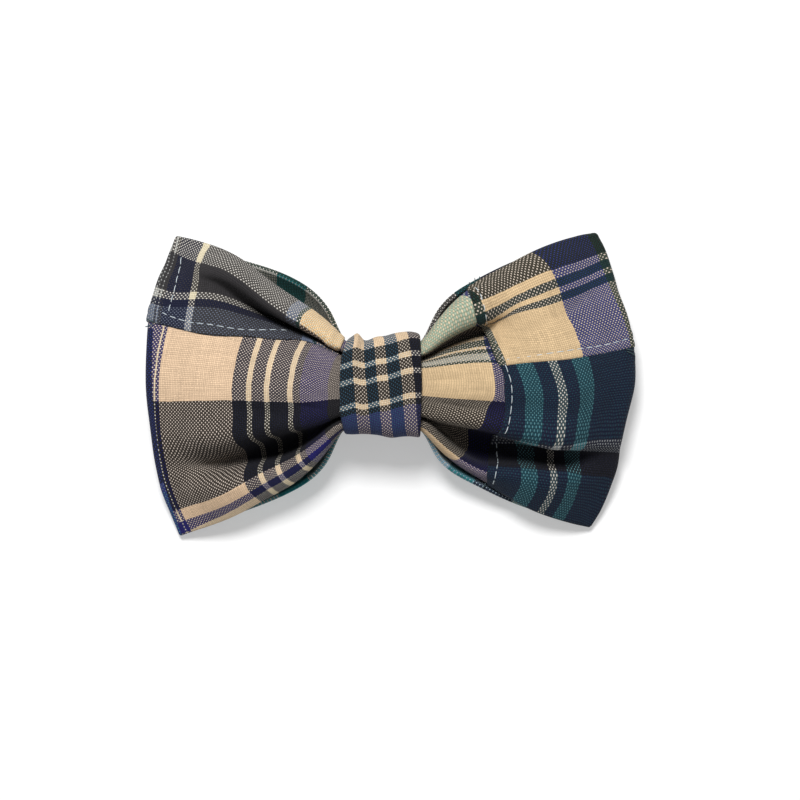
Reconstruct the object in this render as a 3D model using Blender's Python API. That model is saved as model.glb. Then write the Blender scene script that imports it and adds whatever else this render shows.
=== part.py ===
"""Pet bow tie, lying on its back.

A flat tube of patchwork cloth is closed into a loop, pressed into two open wings and gathered
at its waist by a knot band. An elastic loop behind the knot slips over a collar.

Frame: metres. +X runs along the bow to its right wing, +Y to its top edge, and +Z out of its
front. The origin is under the knot's centre, on the surface that the bow lies on.

The cloth is one thin wall built on fold lines. A fold line is a thread of the cloth that keeps
its place across the cloth's height and runs round the whole loop: from the waist along the
front of a wing, over the wing's end, and along its back to the waist again. The tables below
give each wing's fold lines at a few sections, as shares of the named sizes.
"""

import math
from collections import namedtuple

import bpy
import numpy as np

# Driving sizes, in metres
LEFT_REACH = 0.0560      # knot's centre to the end of the left wing
RIGHT_REACH = 0.0602     # knot's centre to the end of the right wing
WING_HEIGHT = 0.0720     # across a wing's end, top corner to bottom corner
WING_PUFF = 0.0210       # front ridge of a wing above the surface
CLOTH_WALL = 0.0012      # two layers of cotton with their interfacing
END_TURN = 0.0023        # radius of the cloth's turn at the middle of a wing's end
CORNER_TURN = 0.0010     # the same at the end's corners

KNOT_WIDTH = 0.0196      # knot band along the bow
KNOT_HEIGHT = 0.0250     # knot band across the bow
KNOT_DEPTH = 0.0160      # knot band from its front to its back
BAND_WALL = 0.0013       # folded band
KNOT_PINCH = 0.92        # the band where it is drawn in most, as a share of its height
KNOT_POWER = 3.4         # squareness of the band's oval: 2 is an ellipse
WAIST_CLEARANCE = 0.0004 # between the gathered cloth and the band round it

COLLAR_SLOT_HEIGHT = 0.0200   # room for a collar's width
COLLAR_SLOT_DEPTH = 0.0046    # room for a collar's thickness
ELASTIC_WALL = 0.0011
ELASTIC_WIDTH = 0.0120
SEWN_GAP = 0.0003        # between the elastic and the band that it is sewn to

# Levels above the surface that follow from the sizes
ELASTIC_TOP = COLLAR_SLOT_DEPTH + 2 * ELASTIC_WALL
KNOT_BACK = ELASTIC_TOP + SEWN_GAP
KNOT_LEVEL = KNOT_BACK + KNOT_DEPTH / 2
KNOT_ROOM = KNOT_HEIGHT / 2 * KNOT_PINCH - BAND_WALL
WAIST_HALF_HEIGHT = KNOT_ROOM - WAIST_CLEARANCE - CLOTH_WALL / 2
WAIST_HALF_DEPTH = KNOT_DEPTH / 2 - BAND_WALL - WAIST_CLEARANCE - CLOTH_WALL / 2
WAIST_HALF_WIDTH = KNOT_WIDTH / 2 + WAIST_CLEARANCE

# Where the sections stand, as shares of the way from the waist to the wing's end
MOUTH_SHARE = 0.085
NEAR_SHARE = 0.30
FAR_SHARE = 0.65
# How far a fold line has spread at the mouth, as a share of its way from the waist to near
FRONT_MOUTH = 0.36
BACK_MOUTH = 0.50
# How far behind a wing's end the cloth's turn starts, in radii of the turn
SHOULDER_SETBACK = 1.3

# One row for each fold line of a wing's front, from the top edge to the bottom edge.
# cloth: share of the cloth's height. waist_y and waist_z: shares of the waist's half height and
# half depth. near_y, far_y and end_y: shares of half the wing's height. near_z, far_z and end_z:
# shares of the wing's puff. reach: share of the wing's reach.
Fold = namedtuple("Fold", "name cloth waist_y waist_z near_y near_z far_y far_z end_y end_z reach")

LEFT_FRONT = (
    Fold("top edge", 0.000, 1.000, 0.05, 0.63, 0.72, 0.85, 0.50, 0.99, 0.085, 0.880),
    Fold("upper roll", 0.052, 0.965, 0.70, 0.54, 0.94, 0.79, 0.65, 0.90, 0.125, 0.897),
    Fold("upper roll lip", 0.110, 0.840, 0.78, 0.46, 0.88, 0.71, 0.68, 0.79, 0.175, 0.922),
    Fold("under the lip", 0.160, 0.785, 0.52, 0.475, 0.69, 0.62, 0.65, 0.69, 0.225, 0.946),
    Fold("upper valley", 0.210, 0.730, 0.30, 0.405, 0.62, 0.53, 0.64, 0.59, 0.280, 0.967),
    Fold("valley wall", 0.262, 0.670, 0.52, 0.335, 0.71, 0.43, 0.69, 0.49, 0.335, 0.986),
    Fold("upper crest", 0.322, 0.590, 0.83, 0.285, 0.90, 0.32, 0.78, 0.37, 0.385, 0.995),
    Fold("upper face", 0.410, 0.320, 0.97, 0.145, 0.985, 0.155, 0.85, 0.19, 0.435, 1.000),
    Fold("middle", 0.500, -0.040, 1.00, -0.03, 1.00, -0.03, 0.87, -0.02, 0.45, 1.000),
    Fold("lower face", 0.590, -0.400, 0.97, -0.20, 0.955, -0.22, 0.83, -0.22, 0.430, 0.987),
    Fold("lower crest", 0.658, -0.650, 0.83, -0.31, 0.87, -0.355, 0.77, -0.34, 0.400, 0.978),
    Fold("lower wall", 0.710, -0.725, 0.52, -0.38, 0.70, -0.455, 0.67, -0.45, 0.350, 0.970),
    Fold("lower valley", 0.768, -0.785, 0.30, -0.45, 0.62, -0.555, 0.63, -0.57, 0.290, 0.957),
    Fold("lower roll lip", 0.830, -0.840, 0.53, -0.51, 0.73, -0.64, 0.64, -0.69, 0.235, 0.940),
    Fold("lower roll", 0.902, -0.955, 0.55, -0.58, 0.82, -0.75, 0.60, -0.82, 0.160, 0.909),
    Fold("bottom edge", 1.000, -1.000, 0.05, -0.655, 0.66, -0.85, 0.42, -0.99, 0.085, 0.866),
)

RIGHT_FRONT = (
    Fold("top edge", 0.000, 1.000, 0.05, 0.69, 0.70, 0.872, 0.50, 1.01, 0.085, 0.860),
    Fold("upper roll", 0.052, 0.955, 0.72, 0.60, 0.90, 0.775, 0.66, 0.92, 0.130, 0.880),
    Fold("upper roll lip", 0.110, 0.775, 0.80, 0.455, 0.85, 0.63, 0.73, 0.80, 0.185, 0.902),
    Fold("under the lip", 0.160, 0.695, 0.54, 0.465, 0.68, 0.535, 0.74, 0.70, 0.235, 0.920),
    Fold("upper valley", 0.210, 0.620, 0.30, 0.38, 0.63, 0.44, 0.75, 0.605, 0.285, 0.938),
    Fold("valley wall", 0.262, 0.545, 0.53, 0.29, 0.73, 0.33, 0.78, 0.49, 0.340, 0.965),
    Fold("upper crest", 0.322, 0.470, 0.83, 0.19, 0.90, 0.20, 0.83, 0.36, 0.390, 0.985),
    Fold("upper face", 0.410, 0.190, 0.97, 0.07, 0.975, 0.055, 0.88, 0.20, 0.435, 0.999),
    Fold("middle", 0.500, -0.130, 1.00, -0.055, 0.99, -0.08, 0.90, 0.04, 0.45, 1.000),
    Fold("lower face", 0.590, -0.420, 0.96, -0.17, 0.95, -0.23, 0.885, -0.115, 0.440, 0.988),
    Fold("lower lip", 0.658, -0.650, 0.82, -0.275, 0.86, -0.39, 0.81, -0.265, 0.405, 0.960),
    Fold("under the lip", 0.710, -0.725, 0.52, -0.29, 0.68, -0.40, 0.66, -0.375, 0.355, 0.948),
    Fold("lower valley", 0.768, -0.785, 0.30, -0.40, 0.61, -0.485, 0.60, -0.49, 0.300, 0.940),
    Fold("lower roll lip", 0.830, -0.840, 0.53, -0.51, 0.70, -0.59, 0.60, -0.62, 0.240, 0.920),
    Fold("lower roll", 0.902, -0.955, 0.55, -0.585, 0.80, -0.70, 0.55, -0.765, 0.155, 0.886),
    Fold("bottom edge", 1.000, -1.000, 0.05, -0.635, 0.64, -0.81, 0.40, -0.93, 0.085, 0.836),
)

# The backs of the wings, which hang plainer: their middles are held clear of the collar.
Back = namedtuple("Back", "name cloth waist_y waist_z near_y near_z far_y far_z")

LEFT_BACK = (
    Back("top edge", 0.000, 1.02, -0.30, 0.733, 0.42, 0.861, 0.20),
    Back("upper lobe", 0.140, 0.80, -0.66, 0.58, 0.25, 0.69, 0.15),
    Back("upper bay", 0.320, 0.42, -0.88, 0.30, 0.31, 0.36, 0.25),
    Back("middle", 0.500, 0.00, -0.92, 0.00, 0.34, 0.00, 0.32),
    Back("lower bay", 0.680, -0.42, -0.88, -0.30, 0.31, -0.36, 0.25),
    Back("lower lobe", 0.860, -0.80, -0.66, -0.58, 0.25, -0.69, 0.15),
    Back("bottom edge", 1.000, -1.02, -0.30, -0.720, 0.42, -0.845, 0.20),
)

RIGHT_BACK = (
    Back("top edge", 0.000, 1.02, -0.30, 0.712, 0.42, 0.878, 0.20),
    Back("upper lobe", 0.140, 0.80, -0.66, 0.57, 0.25, 0.70, 0.15),
    Back("upper bay", 0.320, 0.42, -0.88, 0.30, 0.31, 0.38, 0.25),
    Back("middle", 0.500, 0.00, -0.92, 0.00, 0.34, 0.02, 0.32),
    Back("lower bay", 0.680, -0.42, -0.88, -0.29, 0.31, -0.34, 0.25),
    Back("lower lobe", 0.860, -0.80, -0.66, -0.54, 0.25, -0.66, 0.15),
    Back("bottom edge", 1.000, -1.02, -0.30, -0.668, 0.42, -0.814, 0.20),
)

# The knot band's outline from its left rim to its right rim, which is drawn in unevenly.
# along: share of half its width. top and bottom: shares of half its height.
Rim = namedtuple("Rim", "along top bottom")

KNOT_OUTLINE = (
    Rim(-1.00, 0.945, -0.930),
    Rim(-0.70, 0.985, -0.935),
    Rim(-0.38, 0.920, -0.925),
    Rim(0.00, 0.955, -0.950),
    Rim(0.40, 1.020, -0.985),
    Rim(0.75, 1.035, -0.970),
    Rim(1.00, 0.995, -0.985),
)

# Mesh density: steps between the sections, round the loop and across the cloth
STEPS_TO_MOUTH = 2
STEPS_TO_NEAR = 4
STEPS_TO_FAR = 4
STEPS_TO_SHOULDER = 3
STEPS_ROUND_TURN = 2
STEPS_IN_WAIST = 1         # on each side of the waist's middle
STEPS_TO_FOLD = 2        # across the cloth, from each fold line to the next
FOLD_FILL = 0.4          # the most that half the wall takes of the room inside a fold
KNOT_STEPS_ROUND = 40
KNOT_STEPS_ALONG = 10
ELASTIC_STEPS_ROUND_END = 10


def clear_scene():
    """Removes whatever the scene holds."""
    for obj in list(bpy.data.objects):
        bpy.data.objects.remove(obj)


def make_material(name, color, roughness):
    """A plain matt cloth finish."""
    material = bpy.data.materials.new(name)
    material.use_nodes = True
    shader = material.node_tree.nodes["Principled BSDF"]
    shader.inputs["Base Color"].default_value = (*color, 1.0)
    shader.inputs["Roughness"].default_value = roughness
    shader.inputs["Metallic"].default_value = 0.0
    return material


def add_object(name, points, faces, material):
    """One named object from an array of points and a list of faces, shaded smooth."""
    mesh = bpy.data.meshes.new(name)
    mesh.from_pydata([tuple(p) for p in points], [], faces)
    mesh.validate()
    mesh.shade_smooth()
    mesh.set_sharp_from_angle(angle=math.radians(50))
    mesh.materials.append(material)
    obj = bpy.data.objects.new(name, mesh)
    bpy.context.scene.collection.objects.link(obj)
    return obj


def cubic_through(places, values, wanted):
    """Natural cubic spline through values (first axis) at places, read at wanted places."""
    places, values = np.asarray(places, float), np.asarray(values, float)
    count, gap = len(places), np.diff(places)
    shape = (-1,) + (1,) * (values.ndim - 1)
    slope = np.diff(values, axis=0) / gap.reshape(shape)
    system = np.eye(count)
    right = np.zeros_like(values)
    for i in range(1, count - 1):
        system[i, i - 1:i + 2] = gap[i - 1], 2 * (gap[i - 1] + gap[i]), gap[i]
        right[i] = 6 * (slope[i] - slope[i - 1])
    bend = np.linalg.solve(system, right.reshape(count, -1)).reshape(values.shape)
    span = np.clip(np.searchsorted(places, wanted, side="right") - 1, 0, count - 2)
    width = gap[span].reshape(shape)
    ahead = (places[span + 1] - wanted).reshape(shape)
    behind = (wanted - places[span]).reshape(shape)
    curve = (bend[span] * ahead ** 3 + bend[span + 1] * behind ** 3) / (6 * width)
    line = (values[span] / width - bend[span] * width / 6) * ahead
    return curve + line + (values[span + 1] / width - bend[span + 1] * width / 6) * behind


def loop_through(places, values, length, wanted):
    """The same spline on a closed loop of that length: three turns are splined, the middle one read."""
    turns = [np.asarray(places) + length * turn for turn in (-1, 0, 1)]
    return cubic_through(np.concatenate(turns), np.concatenate([values] * 3), wanted)


def columns(table, across):
    """Each column of a table of folds, read at the wanted shares of the cloth's height."""
    places = [row.cloth for row in table]
    return {
        field: cubic_through(places, [getattr(row, field) for row in table], across)
        for field in table[0]._fields[1:]
    }


def pressed_into_oval(y, z):
    """Shares of the waist's half sizes, drawn in where they would stand out of the band's oval."""
    size = (np.abs(y) ** KNOT_POWER + np.abs(z) ** KNOT_POWER) ** (1 / KNOT_POWER)
    press = 1 / np.maximum(size, 1.0)
    return y * press, z * press


def wing_sections(front, back, side, reach, across):
    """The wing's fold lines as points (section, line, xyz), front and back, from waist to end."""
    fore, rear = columns(front, across), columns(back, across)
    half = WING_HEIGHT / 2
    end_x = fore["reach"] * reach
    end_y = fore["end_y"] * half
    end_z = fore["end_z"] * WING_PUFF
    turn = CORNER_TURN + (END_TURN - CORNER_TURN) * np.sin(math.pi * across)
    setback = end_x - SHOULDER_SETBACK * turn

    def section(x, y, z):
        return np.stack([side * x, y, np.maximum(z, CLOTH_WALL / 2)], axis=-1)

    def row_of(sheet, share, y_name, z_name):
        x = WAIST_HALF_WIDTH + share * (end_x - WAIST_HALF_WIDTH)
        return section(x, sheet[y_name] * half, sheet[z_name] * WING_PUFF)

    def waist(sheet):
        y, z = pressed_into_oval(sheet["waist_y"], sheet["waist_z"])
        level = KNOT_LEVEL + z * WAIST_HALF_DEPTH
        return section(WAIST_HALF_WIDTH + 0 * end_x, y * WAIST_HALF_HEIGHT, level)

    def mouth(sheet, spread):
        """Between the waist and the near section: the cloth spreads fast as it leaves the band."""
        start, near = waist(sheet), row_of(sheet, NEAR_SHARE, "near_y", "near_z")
        place = start + spread * (near - start)
        place[:, 0] = start[:, 0] + (near[:, 0] - start[:, 0]) * MOUTH_SHARE / NEAR_SHARE
        return place

    front_side = [
        waist(fore),
        mouth(fore, FRONT_MOUTH),
        row_of(fore, NEAR_SHARE, "near_y", "near_z"),
        row_of(fore, FAR_SHARE, "far_y", "far_z"),
        section(setback, end_y, end_z + turn),
    ]
    tip = section(end_x, end_y, end_z)
    back_side = [
        section(setback, end_y, end_z - turn),
        row_of(rear, FAR_SHARE, "far_y", "far_z"),
        row_of(rear, NEAR_SHARE, "near_y", "near_z"),
        mouth(rear, BACK_MOUTH),
        waist(rear),
    ]
    return front_side, tip, back_side


def bow_sheet(across, steps):
    """The middle surface of the cloth as points (round the loop, across the cloth, xyz).

    The loop starts at the left wing's waist on the front and runs over the left wing's end, back
    under the knot, round the right wing and over the waist. steps: mesh steps in each span."""
    left_front, left_tip, left_back = wing_sections(
        LEFT_FRONT, LEFT_BACK, -1, LEFT_REACH, across)
    right_front, right_tip, right_back = wing_sections(
        RIGHT_FRONT, RIGHT_BACK, 1, RIGHT_REACH, across)
    under_band = (left_back[-1] + right_back[-1]) / 2
    over_band = (left_front[0] + right_front[0]) / 2
    sections = np.stack([
        *left_front, left_tip, *left_back, under_band,
        *right_back[::-1], right_tip, *right_front[::-1], over_band,
    ])
    closed = np.concatenate([sections, sections[:1]])
    chords = np.linalg.norm(np.diff(closed, axis=0), axis=2).mean(axis=1)
    places = np.concatenate([[0.0], np.cumsum(chords)])
    wanted = np.concatenate([
        np.linspace(a, b, n, endpoint=False) for a, b, n in zip(places[:-1], places[1:], steps)
    ])
    return loop_through(places[:-1], sections, places[-1], wanted)


def loop_steps():
    """Mesh steps in each span of the loop, in the order that bow_sheet runs."""
    out = [STEPS_TO_MOUTH, STEPS_TO_NEAR, STEPS_TO_FAR, STEPS_TO_SHOULDER, STEPS_ROUND_TURN]
    wing = out + out[::-1]
    return 2 * (wing + 2 * [STEPS_IN_WAIST])


def sheet_normals(sheet):
    """Unit normals of a sheet that is closed along its first axis, pointing out of the loop."""
    along = np.roll(sheet, -1, axis=0) - np.roll(sheet, 1, axis=0)
    across = np.gradient(sheet, axis=1)
    normal = np.cross(across, along)
    return normal / np.linalg.norm(normal, axis=2, keepdims=True)


def room_in_folds(sheet, normal, half_wall):
    """How far the wall's two faces stand off the sheet: half the wall, less inside a tight fold.

    A face keeps inside the largest ball that rests on the cloth at its point and touches no other
    point of the same section."""
    apart = sheet[:, None, :, :] - sheet[:, :, None, :]
    square = (apart ** 2).sum(axis=3)
    rise = (apart * normal[:, :, None, :]).sum(axis=3)
    sides = []
    for side in (rise, -rise):
        ball = np.where(side > 1e-7, square / np.maximum(2 * side, 1e-9), 1.0).min(axis=2)
        room = np.minimum(half_wall, FOLD_FILL * ball)
        room[:, 1:-1] = np.minimum(room[:, 1:-1], (room[:, :-2] + room[:, 2:]) / 2)
        sides.append(room[..., None])
    return sides


def walled_loop(sheet, wall):
    """Points and faces of a closed loop of cloth with that wall and half-round edges.

    Each ring of points goes once round the wall's own section: outer face from edge to edge, the
    bottom edge's round, inner face back, the top edge's round."""
    normal = sheet_normals(sheet)
    outside, inside = room_in_folds(sheet, normal, wall / 2)
    outer, inner = sheet + normal * outside, sheet - normal * inside
    edge_out = np.gradient(sheet, axis=1)
    edge_out /= np.linalg.norm(edge_out, axis=2, keepdims=True)
    bottom = sheet[:, -1:] + edge_out[:, -1:] * wall / 2
    top = sheet[:, :1] - edge_out[:, :1] * wall / 2
    rings = np.concatenate([outer, bottom, inner[:, ::-1], top], axis=1)
    rings[..., 2] = np.maximum(rings[..., 2], 0.0)
    return ring_faces(rings)


def ring_faces(rings):
    """Joins rings of points (ring, point, xyz) into a body closed both ways."""
    count, size = rings.shape[:2]
    faces = []
    for i in range(count):
        ahead = (i + 1) % count
        for j in range(size):
            beside = (j + 1) % size
            faces.append((
                i * size + j, i * size + beside, ahead * size + beside, ahead * size + j,
            ))
    return rings.reshape(-1, 3), faces


def make_bow_loop(material):
    """The whole cloth loop, both wings, in one wall."""
    folds = np.array([row.cloth for row in LEFT_FRONT])
    steps = np.linspace(0.0, len(folds) - 1.0, (len(folds) - 1) * STEPS_TO_FOLD + 1)
    across = np.interp(steps, np.arange(len(folds)), folds)
    sheet = bow_sheet(across, loop_steps())
    points, faces = walled_loop(sheet, CLOTH_WALL)
    return add_object("bow_loop", points, faces, material)


def squared_oval(angle, half_height, half_depth):
    """Points (y, z) of the band's rounded oval, a superellipse."""
    c, s = np.cos(angle), np.sin(angle)
    size = (np.abs(c) ** KNOT_POWER + np.abs(s) ** KNOT_POWER) ** (1 / KNOT_POWER)
    return half_height * c / size, half_depth * s / size


def make_knot_band(material):
    """The band round the waist: an oval tube, drawn in a little more on its left than its right."""
    angle = np.linspace(0, 2 * math.pi, KNOT_STEPS_ROUND, endpoint=False)
    along = np.linspace(-1, 1, KNOT_STEPS_ALONG + 1)
    rims, tops, bottoms = zip(*KNOT_OUTLINE)
    rings = []
    for grow in (0.0, -BAND_WALL):
        for place in (along if grow == 0.0 else along[::-1]):
            top = KNOT_HEIGHT / 2 * cubic_through(rims, tops, np.array([place]))[0] + grow
            bottom = KNOT_HEIGHT / 2 * cubic_through(rims, bottoms, np.array([place]))[0] - grow
            y, z = squared_oval(angle, (top - bottom) / 2, KNOT_DEPTH / 2 + grow)
            y = y + (top + bottom) / 2
            x = np.full_like(y, place * KNOT_WIDTH / 2)
            rings.append(np.stack([x, y, z + KNOT_LEVEL], axis=-1))
    points, faces = ring_faces(np.stack(rings))
    return add_object("knot_band", points, faces, material)


def make_collar_loop(material):
    """The elastic: a flat loop with half-round ends, sewn to the band's back."""
    half_turn = np.linspace(-math.pi / 2, math.pi / 2, ELASTIC_STEPS_ROUND_END + 1)
    outline = []
    for grow in (ELASTIC_WALL, 0.0):
        radius = COLLAR_SLOT_DEPTH / 2 + grow
        straight = COLLAR_SLOT_HEIGHT / 2 - COLLAR_SLOT_DEPTH / 2
        y = np.concatenate([straight + radius * np.cos(half_turn),
                            -straight - radius * np.cos(half_turn)])
        z = np.concatenate([radius * np.sin(half_turn), -radius * np.sin(half_turn)])
        outline.append(np.stack([y, z + ELASTIC_TOP / 2], axis=-1))
    corners = ((-1, outline[0]), (1, outline[0]), (1, outline[1]), (-1, outline[1]))
    rings = np.stack([
        np.concatenate([np.full((len(path), 1), side * ELASTIC_WIDTH / 2), path], axis=1)
        for side, path in corners
    ])
    points, faces = ring_faces(rings)
    return add_object("collar_loop", points, faces, material)


def main():
    clear_scene()
    cloth = make_material("patchwork_cotton", (0.23, 0.23, 0.27), 0.9)
    band = make_material("plaid_cotton", (0.16, 0.17, 0.22), 0.9)
    elastic = make_material("black_elastic", (0.02, 0.02, 0.025), 0.8)
    bow = bpy.data.objects.new("bow_tie", None)
    bpy.context.scene.collection.objects.link(bow)
    for piece in (make_bow_loop(cloth), make_knot_band(band), make_collar_loop(elastic)):
        piece.parent = bow


main()
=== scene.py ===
import math
from collections import namedtuple

import bpy
import numpy as np
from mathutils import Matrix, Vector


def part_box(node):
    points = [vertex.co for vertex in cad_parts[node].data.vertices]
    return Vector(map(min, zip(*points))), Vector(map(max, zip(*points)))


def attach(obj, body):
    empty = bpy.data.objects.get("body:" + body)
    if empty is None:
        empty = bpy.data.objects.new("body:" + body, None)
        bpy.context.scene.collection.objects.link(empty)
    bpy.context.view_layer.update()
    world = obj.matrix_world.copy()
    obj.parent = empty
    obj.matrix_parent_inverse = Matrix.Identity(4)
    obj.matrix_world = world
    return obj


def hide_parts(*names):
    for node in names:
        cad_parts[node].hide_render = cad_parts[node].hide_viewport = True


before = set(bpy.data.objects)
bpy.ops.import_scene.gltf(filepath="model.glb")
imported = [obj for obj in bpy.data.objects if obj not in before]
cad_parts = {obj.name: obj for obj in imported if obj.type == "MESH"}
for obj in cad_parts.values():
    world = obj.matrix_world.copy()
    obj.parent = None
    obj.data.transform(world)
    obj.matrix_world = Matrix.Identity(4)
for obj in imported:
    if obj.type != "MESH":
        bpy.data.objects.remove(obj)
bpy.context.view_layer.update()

MM = 0.001

# Sizes in metres, as the frame was built from
LEFT_REACH = 0.0560
RIGHT_REACH = 0.0602
WING_HEIGHT = 0.0720
WING_PUFF = 0.0210
CLOTH_WALL = 0.0012
END_TURN = 0.0023
CORNER_TURN = 0.0006
BAND_WALL = 0.0013
KNOT_PINCH = 0.92
KNOT_POWER = 3.4
WAIST_CLEARANCE = 0.0004

KNOT_LOW, KNOT_HIGH = (np.array(corner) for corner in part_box("knot_band"))
KNOT_WIDTH = KNOT_HIGH[0] - KNOT_LOW[0]
KNOT_HEIGHT = 0.0250
KNOT_DEPTH = KNOT_HIGH[2] - KNOT_LOW[2]
KNOT_LEVEL = (KNOT_HIGH[2] + KNOT_LOW[2]) / 2
KNOT_ROOM = KNOT_HEIGHT / 2 * KNOT_PINCH - BAND_WALL
WAIST_HALF_HEIGHT = KNOT_ROOM - WAIST_CLEARANCE - CLOTH_WALL / 2
WAIST_HALF_DEPTH = KNOT_DEPTH / 2 - BAND_WALL - WAIST_CLEARANCE - CLOTH_WALL / 2
WAIST_HALF_WIDTH = KNOT_WIDTH / 2 + WAIST_CLEARANCE

MOUTH_SHARE = 0.085
NEAR_SHARE = 0.30
MIDDLE_SHARE = 0.46
FAR_SHARE = 0.65
FRONT_MOUTH = 0.33
BACK_MOUTH = 0.46
SHOULDER_SETBACK = 1.3
RIM_SPREAD = 1.12        # the waist at the band's rims, over its size within the band
LEFT_FADE = 0.45         # how far the folds have turned into the far section's by the middle one
RIGHT_FADE = 0.85

# How far the band's left and right rims are drawn in at each height, in millimetres
KNOT_CORNERS = ((-12.4, 1.3, 0.4), (-9.5, 0.7, 0.3), (-6.0, 0.0, 0.2), (0.0, 0.0, 0.0),
                (4.0, 0.1, 0.1), (7.0, 0.4, 0.2), (11.5, 1.9, 0.4))

CLOTH_HEIGHT = 0.0760    # the flat tube's height, along the gathered cloth
THREAD = 0.00045         # from one thread of the weave to the next

# Fine rings of the cloth in each span of a wing, from the waist in front to the wing's end, and on
# behind it back to the waist
FRONT_RINGS = (10, 26, 18, 20, 26, 5)
BACK_RINGS = (5, 16, 20, 14, 5)
WAIST_RINGS = 2
FOLD_LINES = 131         # fine lines across the cloth's height
EDGE_STEPS = 3           # points round the fold at the cloth's top and bottom edge
FOLD_FILL = 0.4          # the most that half the wall takes of the room inside a fold

# One row for each fold line of a wing's front, from the top edge to the bottom edge.
# cloth: share of the cloth's height. waist_y and waist_z: shares of the waist's half height and
# half depth. near_y, far_y and end_y: shares of half the wing's height. near_z, far_z and end_z:
# shares of the wing's puff. reach: share of the wing's reach.
Fold = namedtuple("Fold", "name cloth waist_y waist_z near_y near_z far_y far_z end_y end_z reach")

LEFT_FRONT = (
    Fold("top edge", 0.000, 1.000, 0.05, 0.58, 0.72, 0.85, 0.50, 0.99, 0.085, 0.880),
    Fold("upper roll", 0.052, 0.965, 0.70, 0.515, 0.92, 0.80, 0.67, 0.90, 0.125, 0.897),
    Fold("upper roll lip", 0.115, 0.850, 0.80, 0.455, 0.90, 0.725, 0.73, 0.79, 0.175, 0.922),
    Fold("under the lip", 0.155, 0.805, 0.30, 0.455, 0.62, 0.700, 0.59, 0.71, 0.220, 0.946),
    Fold("upper valley", 0.195, 0.760, -0.15, 0.425, 0.40, 0.630, 0.54, 0.61, 0.280, 0.967),
    Fold("valley wall", 0.250, 0.705, 0.35, 0.370, 0.66, 0.510, 0.62, 0.50, 0.335, 0.986),
    Fold("upper crest", 0.322, 0.590, 0.83, 0.275, 0.89, 0.350, 0.76, 0.37, 0.385, 0.995),
    Fold("upper face", 0.410, 0.320, 0.97, 0.145, 0.985, 0.165, 0.85, 0.19, 0.435, 1.000),
    Fold("middle", 0.500, -0.040, 1.00, -0.03, 1.00, -0.03, 0.87, -0.02, 0.45, 1.000),
    Fold("lower face", 0.600, -0.400, 0.97, -0.20, 0.960, -0.24, 0.86, -0.22, 0.435, 0.987),
    Fold("lower crest", 0.668, -0.660, 0.84, -0.300, 0.86, -0.385, 0.81, -0.34, 0.405, 0.978),
    Fold("lower wall", 0.708, -0.690, 0.30, -0.325, 0.50, -0.455, 0.58, -0.45, 0.345, 0.970),
    Fold("lower valley", 0.768, -0.730, -0.20, -0.430, 0.17, -0.530, 0.36, -0.57, 0.280, 0.957),
    Fold("lower roll lip", 0.830, -0.810, 0.45, -0.485, 0.52, -0.620, 0.60, -0.69, 0.235, 0.940),
    Fold("lower roll", 0.902, -0.955, 0.55, -0.570, 0.72, -0.74, 0.61, -0.82, 0.160, 0.909),
    Fold("bottom edge", 1.000, -1.000, 0.05, -0.645, 0.60, -0.85, 0.42, -0.99, 0.085, 0.866),
)

RIGHT_FRONT = (
    Fold("top edge", 0.000, 1.000, 0.05, 0.655, 0.70, 0.872, 0.50, 1.01, 0.085, 0.860),
    Fold("upper roll", 0.052, 0.955, 0.72, 0.585, 0.90, 0.775, 0.66, 0.92, 0.130, 0.880),
    Fold("upper roll lip", 0.110, 0.775, 0.80, 0.440, 0.86, 0.63, 0.73, 0.80, 0.185, 0.902),
    Fold("under the lip", 0.155, 0.715, 0.30, 0.425, 0.62, 0.535, 0.745, 0.70, 0.235, 0.920),
    Fold("upper valley", 0.210, 0.650, -0.20, 0.360, 0.44, 0.44, 0.76, 0.605, 0.285, 0.938),
    Fold("valley wall", 0.262, 0.560, 0.35, 0.290, 0.64, 0.33, 0.79, 0.49, 0.340, 0.965),
    Fold("upper crest", 0.322, 0.470, 0.83, 0.200, 0.88, 0.20, 0.83, 0.36, 0.390, 0.985),
    Fold("upper face", 0.410, 0.190, 0.97, 0.07, 0.975, 0.055, 0.88, 0.20, 0.435, 0.999),
    Fold("middle", 0.500, -0.130, 1.00, -0.055, 0.99, -0.09, 0.90, 0.02, 0.45, 1.000),
    Fold("lower face", 0.600, -0.420, 0.96, -0.180, 0.95, -0.26, 0.90, -0.19, 0.445, 0.972),
    Fold("lower lip", 0.668, -0.660, 0.83, -0.280, 0.85, -0.395, 0.82, -0.37, 0.430, 0.947),
    Fold("under the lip", 0.708, -0.690, 0.30, -0.295, 0.42, -0.385, 0.46, -0.42, 0.330, 0.943),
    Fold("lower valley", 0.768, -0.730, -0.20, -0.460, 0.16, -0.485, 0.25, -0.50, 0.260, 0.939),
    Fold("lower roll lip", 0.830, -0.810, 0.42, -0.525, 0.44, -0.575, 0.54, -0.59, 0.250, 0.924),
    Fold("lower roll", 0.902, -0.955, 0.55, -0.560, 0.55, -0.68, 0.58, -0.755, 0.165, 0.887),
    Fold("bottom edge", 1.000, -1.000, 0.05, -0.580, 0.38, -0.80, 0.40, -0.93, 0.085, 0.836),
)

# The backs of the wings, which hang plainer: their middles are held clear of the collar.
Back = namedtuple("Back", "name cloth waist_y waist_z near_y near_z far_y far_z")

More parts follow.
